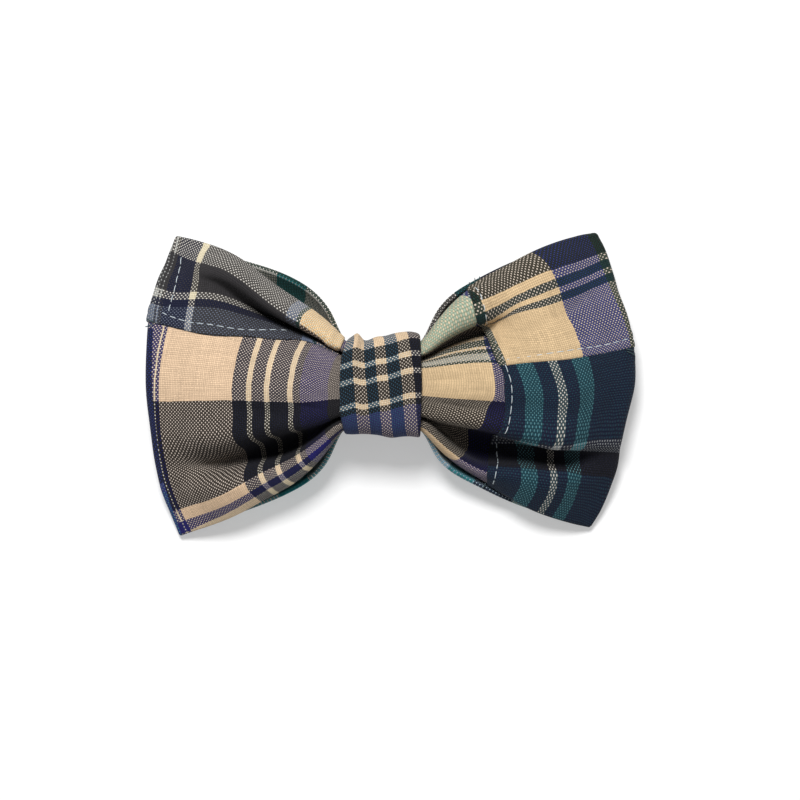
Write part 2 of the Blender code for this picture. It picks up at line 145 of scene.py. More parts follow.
LEFT_BACK = (
    Back("top edge", 0.000, 1.02, -0.30, 0.715, 0.38, 0.850, 0.20),
    Back("upper lobe", 0.140, 0.80, -0.66, 0.58, 0.16, 0.69, 0.15),
    Back("upper bay", 0.320, 0.42, -0.88, 0.30, 0.20, 0.36, 0.25),
    Back("middle", 0.500, 0.00, -0.92, 0.00, 0.22, 0.00, 0.28),
    Back("lower bay", 0.680, -0.42, -0.88, -0.30, 0.08, -0.36, 0.14),
    Back("lower lobe", 0.860, -0.80, -0.66, -0.58, 0.06, -0.69, 0.10),
    Back("bottom edge", 1.000, -1.02, -0.30, -0.692, 0.38, -0.845, 0.20),
)

RIGHT_BACK = (
    Back("top edge", 0.000, 1.02, -0.30, 0.692, 0.38, 0.878, 0.20),
    Back("upper lobe", 0.140, 0.80, -0.66, 0.57, 0.16, 0.70, 0.15),
    Back("upper bay", 0.320, 0.42, -0.88, 0.30, 0.20, 0.38, 0.25),
    Back("middle", 0.500, 0.00, -0.92, 0.00, 0.22, 0.02, 0.28),
    Back("lower bay", 0.680, -0.42, -0.88, -0.29, 0.08, -0.34, 0.14),
    Back("lower lobe", 0.860, -0.80, -0.66, -0.54, 0.06, -0.66, 0.10),
    Back("bottom edge", 1.000, -1.02, -0.30, -0.640, 0.38, -0.814, 0.20),
)


def cubic_through(places, values, wanted):
    """Natural cubic spline through values (first axis) at places, read at wanted places."""
    places, values = np.asarray(places, float), np.asarray(values, float)
    count, gap = len(places), np.diff(places)
    shape = (-1,) + (1,) * (values.ndim - 1)
    slope = np.diff(values, axis=0) / gap.reshape(shape)
    system = np.eye(count)
    right = np.zeros_like(values)
    for i in range(1, count - 1):
        system[i, i - 1:i + 2] = gap[i - 1], 2 * (gap[i - 1] + gap[i]), gap[i]
        right[i] = 6 * (slope[i] - slope[i - 1])
    bend = np.linalg.solve(system, right.reshape(count, -1)).reshape(values.shape)
    span = np.clip(np.searchsorted(places, wanted, side="right") - 1, 0, count - 2)
    width = gap[span].reshape(shape)
    ahead = (places[span + 1] - wanted).reshape(shape)
    behind = (wanted - places[span]).reshape(shape)
    curve = (bend[span] * ahead ** 3 + bend[span + 1] * behind ** 3) / (6 * width)
    line = (values[span] / width - bend[span] * width / 6) * ahead
    return curve + line + (values[span + 1] / width - bend[span + 1] * width / 6) * behind


def loop_through(places, values, length, wanted):
    """The same spline on a closed loop of that length: three turns are splined, the middle one read."""
    turns = [np.asarray(places) + length * turn for turn in (-1, 0, 1)]
    return cubic_through(np.concatenate(turns), np.concatenate([values] * 3), wanted)


def columns(table, across):
    """Each column of a table of folds, read at the wanted shares of the cloth's height."""
    places = [row.cloth for row in table]
    return {
        field: cubic_through(places, [getattr(row, field) for row in table], across)
        for field in table[0]._fields[1:]
    }


def drawn_in(y, side):
    """How far the band's left (-1) or right (1) rim is drawn in at a height."""
    heights, left, right = np.array(KNOT_CORNERS).T * MM
    return np.interp(y, heights, left if side < 0 else right)


def pressed_into_oval(y, z):
    """Shares of the waist's half sizes, drawn in where they would stand out of the band's oval."""
    size = (np.abs(y) ** KNOT_POWER + np.abs(z) ** KNOT_POWER) ** (1 / KNOT_POWER)
    press = 1 / np.maximum(size, 1.0)
    return y * press, z * press


def wing_sections(front, back, side, reach, fade, across):
    """The wing's fold lines as points (section, line, xyz), front and back, from waist to end."""
    fore, rear = columns(front, across), columns(back, across)
    half = WING_HEIGHT / 2
    end_x = fore["reach"] * reach
    end_y = fore["end_y"] * half
    end_z = fore["end_z"] * WING_PUFF
    turn = CORNER_TURN + (END_TURN - CORNER_TURN) * np.sin(math.pi * across)
    setback = end_x - SHOULDER_SETBACK * turn
    far_x = WAIST_HALF_WIDTH + FAR_SHARE * (end_x - WAIST_HALF_WIDTH)
    fore_y, rear_y = (
        end_y - (end_y - sheet["far_y"] * half) * SHOULDER_SETBACK * turn / (end_x - far_x)
        for sheet in (fore, rear))

    def section(x, y, z):
        """Points on the wing's own side, kept half the wall above the ground."""
        return np.stack([side * x, y, np.maximum(z, CLOTH_WALL / 2)], axis=-1)

    def row_of(sheet, share, y_name, z_name):
        """The section at a share of the way from the waist to the wing's end."""
        x = WAIST_HALF_WIDTH + share * (end_x - WAIST_HALF_WIDTH)
        return section(x, sheet[y_name] * half, sheet[z_name] * WING_PUFF)

    def waist(sheet):
        """The section at the band's rim, within the band's oval."""
        y, z = pressed_into_oval(sheet["waist_y"], sheet["waist_z"])
        y = y * WAIST_HALF_HEIGHT * RIM_SPREAD
        return section(WAIST_HALF_WIDTH - drawn_in(y, side), y, KNOT_LEVEL + z * WAIST_HALF_DEPTH)

    def mouth(sheet, spread):
        """Between the waist and the near section: the cloth spreads fast as it leaves the band."""
        start, near = waist(sheet), row_of(sheet, NEAR_SHARE, "near_y", "near_z")
        place = start + spread * (near - start)
        place[:, 0] = start[:, 0] + (near[:, 0] - start[:, 0]) * MOUTH_SHARE / NEAR_SHARE
        return place

    way = (MIDDLE_SHARE - NEAR_SHARE) / (FAR_SHARE - NEAR_SHARE)
    fore["middle_y"] = fore["near_y"] + way * (fore["far_y"] - fore["near_y"])
    fore["middle_z"] = fore["near_z"] + fade * (fore["far_z"] - fore["near_z"])
    front_side = [
        waist(fore),
        mouth(fore, FRONT_MOUTH),
        row_of(fore, NEAR_SHARE, "near_y", "near_z"),
        row_of(fore, MIDDLE_SHARE, "middle_y", "middle_z"),
        row_of(fore, FAR_SHARE, "far_y", "far_z"),
        section(setback, fore_y, end_z + turn),
    ]
    tip = section(end_x, end_y, end_z)
    back_side = [
        section(setback, rear_y, end_z - turn),
        row_of(rear, FAR_SHARE, "far_y", "far_z"),
        row_of(rear, NEAR_SHARE, "near_y", "near_z"),
        mouth(rear, BACK_MOUTH),
        waist(rear),
    ]
    return front_side, tip, back_side


def bow_sheet(across, steps):
    """The middle surface of the cloth as points (round the loop, across the cloth, xyz).

    The loop starts at the left wing's waist on the front and runs over the left wing's end, back
    under the knot, round the right wing and over the waist. steps: mesh steps in each span."""
    left_front, left_tip, left_back = wing_sections(
        LEFT_FRONT, LEFT_BACK, -1, LEFT_REACH, LEFT_FADE, across)
    right_front, right_tip, right_back = wing_sections(
        RIGHT_FRONT, RIGHT_BACK, 1, RIGHT_REACH, RIGHT_FADE, across)
    under_band = (left_back[-1] + right_back[-1]) / 2
    over_band = (left_front[0] + right_front[0]) / 2
    for within in (under_band, over_band):
        within[:, 1] /= RIM_SPREAD
    sections = np.stack([
        *left_front, left_tip, *left_back, under_band,
        *right_back[::-1], right_tip, *right_front[::-1], over_band,
    ])
    closed = np.concatenate([sections, sections[:1]])
    chords = np.linalg.norm(np.diff(closed, axis=0), axis=2).mean(axis=1)
    places = np.concatenate([[0.0], np.cumsum(chords)])
    wanted = np.concatenate([
        np.linspace(a, b, n, endpoint=False) for a, b, n in zip(places[:-1], places[1:], steps)
    ])
    return loop_through(places[:-1], sections, places[-1], wanted)


# Soft dents in the cloth's front, in millimetres from the knot's centre: x, y, depth, half length,
# half width, and the turn of its length from x in degrees
DENTS = (
    (-42.5, -17.0, 1.5, 6.5, 2.6, 8), (-40.5, -9.0, 0.35, 2.0, 8.0, -12), (-47.0, -23.0, 0.4, 5.0, 1.6, 35),
    (-36.0, 3.5, 0.22, 7.0, 1.5, 14), (-28.5, -6.0, 0.25, 8.0, 1.2, -8), (-20.0, 2.0, 0.25, 8.0, 0.9, 10),
    (-17.0, -5.0, 0.3, 6.0, 0.8, -14), (-45.5, 22.0, 0.4, 1.6, 5.0, -10), (-34.0, 21.5, 0.3, 6.0, 1.2, -32),
    (16.0, 1.6, 0.25, 5.0, 0.8, 4), (19.0, -5.0, 0.3, 6.0, 0.8, -12), (24.0, -1.0, 0.2, 6.0, 1.0, 3),
    (37.0, 14.0, 0.4, 6.0, 1.8, 28), (46.0, 19.0, 0.35, 6.0, 1.6, 52), (33.0, 10.0, 0.3, 5.0, 1.4, -14),
    (42.0, -6.0, 0.3, 8.0, 1.6, -16), (50.0, -2.0, 0.3, 6.0, 2.0, 40), (44.0, -24.0, 0.35, 7.0, 1.5, -14),
)


def dented(sheet):
    """The sheet with its front lowered in each dent by the bell curve of the place within it."""
    front = np.concatenate([np.arange(2, LEFT_TIP - 3), np.arange(RIGHT_TIP + 4, RIGHT_WAIST - 1)])
    x, y = sheet[front, :, 0] / MM, sheet[front, :, 1] / MM
    for place_x, place_y, depth, length, width, turn in DENTS:
        c, s = math.cos(math.radians(turn)), math.sin(math.radians(turn))
        along = ((x - place_x) * c + (y - place_y) * s) / length
        beside = ((y - place_y) * c - (x - place_x) * s) / width
        sheet[front, :, 2] -= depth * MM * np.exp(-along ** 2 - beside ** 2)
    return sheet


def sheet_normals(sheet):
    """Unit normals of a sheet that is closed along its first axis, pointing out of the loop: the
    cross product of its steps along and across."""
    along = np.roll(sheet, -1, axis=0) - np.roll(sheet, 1, axis=0)
    across = np.gradient(sheet, axis=1)
    normal = np.cross(along, across)
    return normal / np.linalg.norm(normal, axis=2, keepdims=True)


def room_in_folds(sheet, normal, half_wall):
    """How far each face of the wall stands off the sheet, (outer, inner): half the wall, or less
    in a tight fold, where it is a share of the largest ball that rests on the cloth there and
    touches no other point of its section."""
    apart = sheet[:, None, :, :] - sheet[:, :, None, :]
    square = (apart ** 2).sum(axis=3)
    rise = (apart * normal[:, :, None, :]).sum(axis=3)
    sides = []
    for side in (rise, -rise):
        ball = np.where(side > 1e-7, square / np.maximum(2 * side, 1e-9), 1.0).min(axis=2)
        room = np.minimum(half_wall, FOLD_FILL * ball)
        room[:, 1:-1] = np.minimum(room[:, 1:-1], (room[:, :-2] + room[:, 2:]) / 2)
        sides.append(room)
    return sides


WING_RINGS = FRONT_RINGS + BACK_RINGS
LOOP_RINGS = WING_RINGS + 2 * (WAIST_RINGS,) + WING_RINGS[::-1] + 2 * (WAIST_RINGS,)
LEFT_TIP = sum(FRONT_RINGS)
RIGHT_TIP = sum(WING_RINGS) + 2 * WAIST_RINGS + sum(BACK_RINGS)
RIGHT_WAIST = RIGHT_TIP + sum(FRONT_RINGS)
UNDER_BAND = sum(WING_RINGS) + WAIST_RINGS
RINGS = sum(LOOP_RINGS)
OVER_BAND = RINGS - WAIST_RINGS


def fibre_lengths(sheet):
    """Arc length along each fold line from the nearer wing's end, positive on the front."""
    steps = np.linalg.norm(np.roll(sheet, -1, axis=0) - sheet, axis=2)
    length = np.concatenate([np.zeros((1, sheet.shape[1])), np.cumsum(steps, axis=0)[:-1]])
    out = length[LEFT_TIP] - length
    out[UNDER_BAND:] = length[UNDER_BAND:] - length[RIGHT_TIP]
    out[OVER_BAND:] = length[LEFT_TIP] + length[-1] + steps[-1] - length[OVER_BAND:]
    return out


def wall_rings(sheet):
    """The cloth's wall as closed rings of points, (ring, point, xyz), with its normals, the share
    of the full wall that each point's fold leaves room for, and its place (u, v) on the flat cloth.

    A ring runs down the outer face, round the bottom edge on a half circle, up the inner face and
    round the top edge."""
    half = CLOTH_WALL / 2
    normal = sheet_normals(sheet)
    outside, inside = room_in_folds(sheet, normal, half)
    turn = np.linspace(0, math.pi, EDGE_STEPS + 2)[1:-1, None]
    down = np.gradient(sheet, axis=1)
    down /= np.linalg.norm(down, axis=2, keepdims=True)

    def edge(line, outward, start, stop):
        """Half circle from one face to the other at a fold line on the cloth's edge."""
        centre, side = sheet[:, line, None], normal[:, line, None]
        height = np.where(np.cos(turn) > 0, start[:, line, None, None], stop[:, line, None, None])
        point = centre + side * np.cos(turn) * height + outward[:, None] * half * np.sin(turn)
        slant = side * np.cos(turn) + outward[:, None] * np.sin(turn)
        return point, slant

    bottom, bottom_slant = edge(-1, down[:, -1], outside, inside)
    top, top_slant = edge(0, -down[:, 0], outside, inside)
    rings = np.concatenate([
        sheet + normal * outside[..., None], bottom,
        (sheet - normal * inside[..., None])[:, ::-1], top[:, ::-1]], axis=1)
    rings[..., 2] = np.maximum(rings[..., 2], 0.0)
    facing = np.concatenate([normal, bottom_slant, -normal[:, ::-1], top_slant[:, ::-1]], axis=1)
    lines = np.linspace(0, 1, sheet.shape[1]) * CLOTH_HEIGHT
    past_edge = half * np.sin(turn[:, 0]) * math.pi / 2
    v = np.concatenate([lines, CLOTH_HEIGHT + past_edge, lines[::-1], -past_edge])
    fibre = fibre_lengths(sheet)
    u = np.concatenate([
        fibre, np.repeat(fibre[:, -1:], EDGE_STEPS, axis=1),
        fibre[:, ::-1], np.repeat(fibre[:, :1], EDGE_STEPS, axis=1)], axis=1)
    full = np.ones((sheet.shape[0], EDGE_STEPS))
    room = np.concatenate([outside / half, full, inside[:, ::-1] / half, full], axis=1)
    return rings, facing, room, np.stack([u, np.broadcast_to(v, u.shape)], axis=-1)


# Pieces of the bow

# Places on the bow seen from above, in millimetres from the knot's centre, (x, y)
SEAMS = {
    "left_upper": (
        (-55.7, 15.4), (-50.9, 14.2), (-45.4, 12.8), (-38.6, 11.8), (-30.2, 11.5), (-23.3, 10.9),
        (-19.7, 10.9), (-14.4, 9.4), (-9.4, 7.2)),
    "right_inner": (
        (20.6, 22.8), (22.1, 18.5), (24.2, 13.9), (25.7, 10.8), (27.6, 5.8), (28.8, 3.8),
        (29.4, 0.2), (29.5, -3.1), (29.2, -8.2), (27.8, -11.5), (26.2, -14.6), (25.2, -24.0)),
    "right_middle": (
        (30.0, 4.6), (35.5, 5.3), (41.8, 5.8), (48.5, 6.7), (54.0, 7.7), (59.8, 8.9)),
}

# Runs of threads that show in each panel: a thread's number, then places that it passes, (x, y) as
# above. Warp threads are counted from the wing's end, weft threads from the top edge.
RUNS = {
    ("left_main", "warp"): (
        (6, (-51.1, 14.2), (-53.8, -3.4), (-53, -12.2), (-51.1, -20.2), (-48.5, -28.8), (-46.6, -35)),
        (49, (-33.1, 10.6), (-36.2, -3.4), (-34.3, -10.6), (-32.4, -17.8), (-31.4, -25)),
        (58.5, (-28.6, 10.3), (-32.2, -1), (-31, -13), (-28.6, -17.8), (-27.1, -22.6), (-25.9, -26.2)),
        (68.5, (-24, 10.3), (-27.1, -1), (-25, -13), (-22.8, -22.1)),
        (81.5, (-19.4, 9.8), (-21.8, -1), (-20.2, -11), (-18.7, -19.2)),
    ),
    ("left_main", "weft"): (
        (90, (-53, -3.6), (-43.4, -3.6), (-31.4, -3.6), (-19.4, -3.6), (-11, -3.6)),
        (150, (-47.8, -30.2), (-39.8, -26.9), (-31.4, -23)),
        (158, (-46.8, -32.4), (-39.8, -29.5), (-31, -25)),
        (165, (-46.3, -34.6), (-39.8, -31.9), (-30, -26.6)),
        (154, (-26.9, -21.4), (-22.8, -19.1)),
        (167, (-25.9, -25.2), (-22.2, -22.5), (-18.6, -19.1)),
    ),
    ("left_upper", "warp"): (
        (5, (-48.5, 32.6), (-50.2, 28.3), (-51.1, 23)),
        (21, (-42.2, 33.4), (-44.2, 27.8), (-45.1, 21.6), (-46.6, 13.4)),
        (23, (-43, 28.8), (-43.4, 23)),
        (82, (-21.6, 19.9), (-21.6, 18.2)),
        (88, (-17.8, 18.2), (-19.4, 16.8)),
    ),
    ("left_upper", "weft"): (
        (-4, (-25.4, 25.2), (-17.3, 18.5), (-12.2, 14.2)),
        (10, (-49, 32.3), (-44.4, 30.2), (-43, 28.8), (-38.6, 26.9), (-34.3, 24.5), (-27.8, 20.4),
         (-22.6, 16.6), (-19.2, 14.6), (-14.4, 11)),
        (32, (-44.4, 21.4), (-36.2, 19.9), (-28.8, 17.5)),
        (36, (-44.4, 19.7), (-27.6, 16.3)),
    ),
    ("right_upper", "warp"): (
        (0, (52.6, 33.8), (56.6, 20.6), (59.5, 10.8)),
        (34, (38.7, 29.6), (39.8, 27.6), (41.2, 24.9), (42.7, 21.8), (46.3, 15.4), (48.2, 9.1),
         (48.5, 6.7)),
        (74, (21.8, 22.6), (24.7, 17.3), (27.4, 10.8), (29.5, 4.8)),
    ),
    ("right_upper", "weft"): (
        (7.5, (24.6, 21.4), (31.7, 24.5), (40.2, 28), (53.3, 33.4)),
        (11.5, (23.9, 19), (31.7, 23.1), (40.4, 26.4), (53.3, 31.6)),
        (15.5, (24.3, 17.8), (32.4, 21.3), (40.9, 24.5), (54, 29.8)),
        (18.5, (25.4, 16), (33.1, 19.7), (41.8, 23.1), (54.7, 28.4)),
        (22.5, (26.1, 15.3), (33.9, 18.3), (42.7, 21.6), (55.1, 25.9)),
    ),
    ("right_lower", "warp"): (
        (0, (60.2, 2.6), (59.3, -4.6), (56.9, -14.2), (54.7, -23.8), (50.2, -33.4)),
        (31, (48.2, -0.5), (47.8, -12.5), (47.4, -15.1), (46.3, -21.6), (44.9, -31)),
        (45.5, (42.7, -0.5), (42.4, -12.5), (41.3, -15.1), (40.5, -21.1), (39, -29.8)),
        (61, (36.4, -0.5), (36.5, -12.5), (35.6, -15.1), (34.8, -20.4), (33.1, -28.6)),
    ),
    ("right_lower", "weft"): (
        (118, (45.1, -11.5), (52.6, -12), (56.6, -12.7)),
        (126, (33.4, -15.1), (43, -15.6), (52.6, -16.8)),
        (138, (33.4, -19.9), (43, -20.4), (52.6, -21.1)),
    ),
    ("right_inner", "warp"): (
        (82, (26.6, 5.5), (26.6, 1.4), (26.4, -2.6), (25.4, -7.6), (24.9, -9.2), (19.8, -15.8)),
    ),
    ("right_inner", "weft"): (
        (19, (12.5, 8), (18.2, 13), (22.8, 16)),
        (31, (12, 7.4), (19, 9.4), (25.7, 10.8)),
        (51, (14.4, 6), (20.2, 6.5), (25.7, 7.4)),
        (54, (10.6, 5.6), (19, 5.5), (26.6, 5.5)),
        (90, (10.6, -2.8), (19, -2.9), (26.2, -2.9)),
    ),
    ("knot", "warp"): (
        (0, (-8.9, 7.7), (-9.6, -2.2), (-8.2, -10.6)),
        (7, (-6.8, 7.7), (-6.4, -2.2), (-5.9, -10.6)),
        (14, (-4.1, 8.6), (-3.5, -2.2), (-2.2, -10.6)),
        (20, (-2.2, 8.6), (-0.5, -2.2), (-0.1, -10.6)),
        (26, (1.7, 8.6), (2.3, -2.2), (3.7, -10.6)),
        (33, (3.6, 8.6), (5.3, -2.2), (5.7, -10.6)),
        (40, (6.7, 9.8), (8.4, -2.2), (8.6, -10.6)),
    ),
    ("knot", "weft"): (
        (8, (-5.8, 8.5), (-0.5, 9.7), (5.5, 10.7)),
        (16, (-9.1, 5.4), (-5.3, 5.1), (-3.6, 5.3), (-1.9, 5.9), (1.4, 6.5), (2.9, 7.1), (5.8, 7.4),
         (9.4, 8.2)),
        (25.5, (-9.6, 0.5), (-3.6, 0.5), (-1.2, 1), (2.2, 2.2), (4.8, 2.9), (8.4, 3.4)),
        (38.5, (-9.6, -5), (-6.2, -5), (-2.6, -4.9), (0.5, -4.3), (3.6, -3), (5.8, -2.6), (9.4, -2.2)),
    ),
}

# The threads' colours as a screen shows them, from 0 to 255
THREAD_COLORS = {
    "beige": (220, 190, 158), "cream": (214, 200, 168), "white": (210, 200, 180), "ash": (150, 152, 148),
    "pale_green": (150, 166, 150), "sky": (120, 160, 182), "grey_blue": (92, 102, 122),
    "teal": (56, 124, 134), "deep_teal": (8, 108, 112), "green": (12, 48, 42), "petrol": (34, 72, 92),
    "violet": (46, 43, 88), "apricot": (230, 184, 136), "navy": (12, 18, 44), "slate": (8, 52, 64),
    "indigo": (24, 22, 92), "royal": (30, 44, 112), "forest": (14, 38, 40), "moss": (22, 26, 20),
    "ink": (5, 6, 12), "sand": (208, 180, 140), "mist": (150, 156, 160), "charcoal": (44, 42, 46),
    "black": (46, 44, 46), "tan": (206, 180, 146),
}

# The plaids, as stripes of so many threads: warps from the wing's end, then wefts from the top edge
CHARTS = {
    "left_main": (
        "indigo 3, white 1, indigo 2, beige 43, navy 8, cream 3, navy 7, cream 3, navy 10, cream 3, "
        "navy 4, indigo 16, charcoal 21",
        "beige 90, ink 60, beige 8, indigo 7, cream 9",
    ),
    "left_upper": (
        "ash 1, black 1, ash 1, black 2, navy 14, cream 4, black 57, charcoal 2, grey_blue 6, "
        "green 2, apricot 48",
        "white 10, black 20, white 4, navy 4, grey_blue 16",
    ),
    "left_back": (
        "royal 24, beige 11, white 25, deep_teal 18, white 17, tan 17",
        "ash 1, green 20, beige 32, navy 84, grey_blue 5, teal 40",
    ),
    "right_inner": (
        "green 48, indigo 34, sand 48",
        "pale_green 19, black 12, green 3, white 3, green 5, white 2, green 3, ash 5, green 2, "
        "sand 36, ink 81, beige 24",
    ),
    "right_upper": (
        "green 2, royal 32, sand 40, green 24",
        "moss 10, sand 4, forest 4, sand 3, forest 4, sand 56",
    ),
    "right_lower": (
        "navy 26, teal 10, navy 7, white 5, navy 8, teal 10, navy 24",
        "slate 118, mist 7, ink 13, slate 48",
    ),
    "right_back": (
        "green 32, beige 13, navy 24, deep_teal 16, white 48",
        "black 10, white 4, navy 48, green 16, beige 32, navy 40, sky 32",
    ),
    "knot": (
        "petrol 7, tan 7, petrol 6, tan 6, petrol 7, tan 7, navy 16",
        "beige 8, ink 7, cream 3, ink 6, cream 3, ink 10, cream 3, ink 3, violet 24",
    ),
}

LEFT_RIM = LEFT_TIP - 3      # the ring of the left wing's front that its back's cloth comes round to
RIGHT_RIM = RIGHT_TIP - 2    # the ring behind the right wing's end where its front's cloth starts

# Patches: their walls, and how the cloth's seams and folds shape them
PATCH_WALLS = {"left_upper": 0.55 * MM, "right_upper": 0.75 * MM, "right_lower": 0.45 * MM}
PATCH_LIFT = 0.02 * MM       # a patch's inner face over the cloth
HEM_WIDTH = 4.2 * MM         # a patch's turned edge, inside its seam
HEM_STEP = 0.15 * MM         # how softly the turned edge ends
SINGLE_SHARE = 0.72          # the wall inside the turned edge, as a share of the whole wall
LEAST_ROOM = 0.15            # the least share of the wall that a tight fold leaves
CREASE_REACH = 3.0 * MM      # the wing's corner, where a patch is creased sharp
CREASE_SHARE = 0.6
STITCH_INSET = 2.2 * MM      # top stitching inside a patch's edge, and the groove that it presses in
GROOVE_WIDTH = 0.35 * MM
GROOVE_SHARE = 0.22
TAUT_REACH = 8.0 * MM        # how far the right upper patch is taut from its inner edge
SMOOTHING_PASSES = 90
SEAM_PASSES = 8              # rounds in which a patch's rings and lines settle between its seams
SEAM_OVERLAP = 3             # lines that the lower patch runs on under the upper one

# Finding a place of the cloth from above
SEARCH_REACH = 0.4 * MM
SEARCH_SLACK = 0.1 * MM
LAYER_DEPTH = 1.2 * MM       # cloth this far under the highest is another layer

# The fit of thread numbers: powers of the two places on the cloth, and how stiffly each is held
POWERS = [(i, j) for i in range(4) for j in range(4 - i)]
STIFFNESS = [0.004 * 3.0 ** (i + j) for i, j in POWERS]


def add_mesh(name, points, faces, uv, materials, slots=None):
    """A piece from its points, quads and the uv of each quad's corners, in threads of the weave.
    The faces are turned outward: the volume that they enclose comes out positive."""
    a, b, c, d = (points[faces[:, i]] for i in range(4))
    if (a * (np.cross(b, c) + np.cross(c, d))).sum() < 0:
        faces, uv = faces[:, ::-1], uv[:, ::-1]
    mesh = bpy.data.meshes.new(name)
    mesh.from_pydata(points.tolist(), [], faces.tolist())
    layer = mesh.uv_layers.new(name="weave")
    layer.data.foreach_set("uv", uv.reshape(-1).astype(np.float32))
    for material in materials:
        mesh.materials.append(material)
    if slots is not None:
        mesh.polygons.foreach_set("material_index", slots.astype(np.int32))
    mesh.shade_smooth()
    piece = bpy.data.objects.new(name, mesh)
    bpy.context.scene.collection.objects.link(piece)
    return piece


def loop_quads(rows, columns, close_rows=True, close_columns=True):
    """Quads over a grid of points, closed round its rows and columns where that is said."""
    row = np.arange(rows if close_rows else rows - 1)[:, None]
    column = np.arange(columns if close_columns else columns - 1)[None, :]
    ahead, beside = (row + 1) % rows, (column + 1) % columns
    quads = [row * columns + column, row * columns + beside,
             ahead * columns + beside, ahead * columns + column]
    return np.stack([q + 0 * row + 0 * column for q in quads], axis=-1).reshape(-1, 4)


def sampled(grid, rows, columns):
    """The grid read between its points, along straight lines, and round its ends."""
    row, column = np.floor(rows).astype(int), np.floor(columns).astype(int)
    down, over = (rows - row)[..., None], (columns - column)[..., None]
    count, size = grid.shape[:2]
    values = grid if grid.ndim == 3 else grid[..., None]

    def at(i, j):
        """The grid's values, counted round its ends."""
        return values[i % count, j % size]

    near = at(row, column) * (1 - over) + at(row, column + 1) * over
    far = at(row + 1, column) * (1 - over) + at(row + 1, column + 1) * over
    out = near * (1 - down) + far * down
    return out if grid.ndim == 3 else out[..., 0]


def lifted(places, part):
    """Grid places (row, column) of points given in plan on one part: the highest surface seen
    there, then one step towards the exact place along the surface's own two directions."""
    rows, patch = part.rows, part.seen
    ring_step, line_step = np.gradient(patch, axis=0), np.gradient(patch, axis=1)
    found = []
    for x, y in places:
        away = np.hypot(patch[..., 0] - x * MM, patch[..., 1] - y * MM)
        near = away < max(SEARCH_REACH, away.min() + SEARCH_SLACK)
        top = patch[..., 2][near].max() - LAYER_DEPTH
        i, j = np.unravel_index(np.where(near & (patch[..., 2] > top), away, 1).argmin(), away.shape)
        step = np.stack([ring_step[i, j, :2], line_step[i, j, :2]], axis=1)
        miss = np.array([x * MM, y * MM]) - patch[i, j, :2]
        move = np.clip(np.linalg.lstsq(step, miss, rcond=None)[0], -0.5, 0.5)
        found.append((rows[i] + move[0], j + move[1]))
    return np.array(found)


def bends(u, v):
    """Terms of a smooth cubic in the two places on the cloth, scaled to about one."""
    a, b = u / 0.030 - 0.8, v / 0.040 - 1.0
    return np.stack([a ** i * b ** j for i, j in POWERS], axis=-1)


def thread_counts(panel, uv, part):
    """Warp and weft thread numbers all over the cloth: its flat place in threads, bent by the
    smoothest cubic that brings the panel's known runs of threads where they show."""
    counts = []
    for flat, direction in enumerate(("warp", "weft")):
        number = uv[..., flat] / THREAD
        terms, wanted = [], []
        for thread, *places in RUNS.get((panel, direction), ()):
            place = sampled(uv, *lifted(places, part).T)
            terms.append(bends(place[:, 0], place[:, 1]))
            wanted.append(thread - place[:, flat] / THREAD)
        if terms:
            terms, wanted = np.concatenate(terms), np.concatenate(wanted)
            fit = np.linalg.solve(terms.T @ terms + np.diag(STIFFNESS), terms.T @ wanted)
            number = number + bends(uv[..., 0], uv[..., 1]) @ fit
        counts.append(number)
    return np.stack(counts, axis=-1)


def corner_values(values, quads):
    """A value at each corner of each quad."""
    return values.reshape(-1, values.shape[-1])[quads]


def make_bow_cloth(materials):
    """The whole gathered loop of cloth in one wall, each panel with its own plaid."""
    quads = loop_quads(*WALL.shape[:2])
    ring = quads[:, 0] // WALL.shape[1]
    spans = ((0, LEFT_RIM, "left_main", "left"),
             (LEFT_RIM, UNDER_BAND, "left_back", "left"),
             (UNDER_BAND, RIGHT_RIM, "right_back", "right"),
             (RIGHT_RIM, OVER_BAND, "right_inner", "right"),
             (OVER_BAND, RINGS, "left_main", "left"))
    slots, uv = np.zeros(len(quads), int), np.zeros((len(quads), 4, 2))
    for slot, (start, stop, panel, wing) in enumerate(spans):
        chosen = (ring >= start) & (ring < stop)
        place = FLAT if (panel, "warp") in RUNS else np.abs(FLAT)
        counts = thread_counts(panel, place, PARTS[wing])
        slots[chosen] = slot
        uv[chosen] = corner_values(counts, quads[chosen])
    panels = [materials[panel] for *_, panel, _ in spans]
    return add_mesh("bow_cloth", WALL.reshape(-1, 3), quads, uv, panels, slots)


def graded(length, step, edge):
    """Shares of the way over a length: steps of about one size, finer where the edges turn."""
    fine = edge * np.array([0.0, 0.12, 0.4, 0.75])
    middle = np.linspace(edge * 1.3, length - edge * 1.3, max(3, int(length / step)))
    return np.concatenate([fine, middle, length - fine[::-1]]) / length


def lengths_between(points, axis):
    """Arc length to each point of a grid along one axis, from its start and to its end."""
    step = np.linalg.norm(np.diff(points, axis=axis), axis=-1)
    zero = np.zeros_like(np.take(step, [0], axis=axis))
    along = np.concatenate([zero, np.cumsum(step, axis=axis)], axis=axis)
    return along, np.take(along, [-1], axis=axis) - along


def stretched_over(base, facing, reach):
    """A patch's base where the patch is taut at its last row: dips across it are bridged by the
    levels smoothed along the row, less and less over a reach from there. Its normals are the cross
    products of its own steps, turned to the cloth's side."""
    level = base[..., 2].copy()
    for _ in range(SMOOTHING_PASSES):
        level[:, 1:-1] = (level[:, :-2] + level[:, 2:]) / 2
    inside = lengths_between(base, 0)[1]
    inner = base[..., 2] + np.maximum(level - base[..., 2], 0) * np.exp(-(inside / reach) ** 2)
    base = np.concatenate([base[..., :2], inner[..., None]], axis=-1)
    normal = np.cross(np.gradient(base, axis=0), np.gradient(base, axis=1))
    normal /= np.linalg.norm(normal, axis=-1, keepdims=True) + 1e-12
    return base, normal * np.sign((normal * facing).sum(axis=-1).mean())


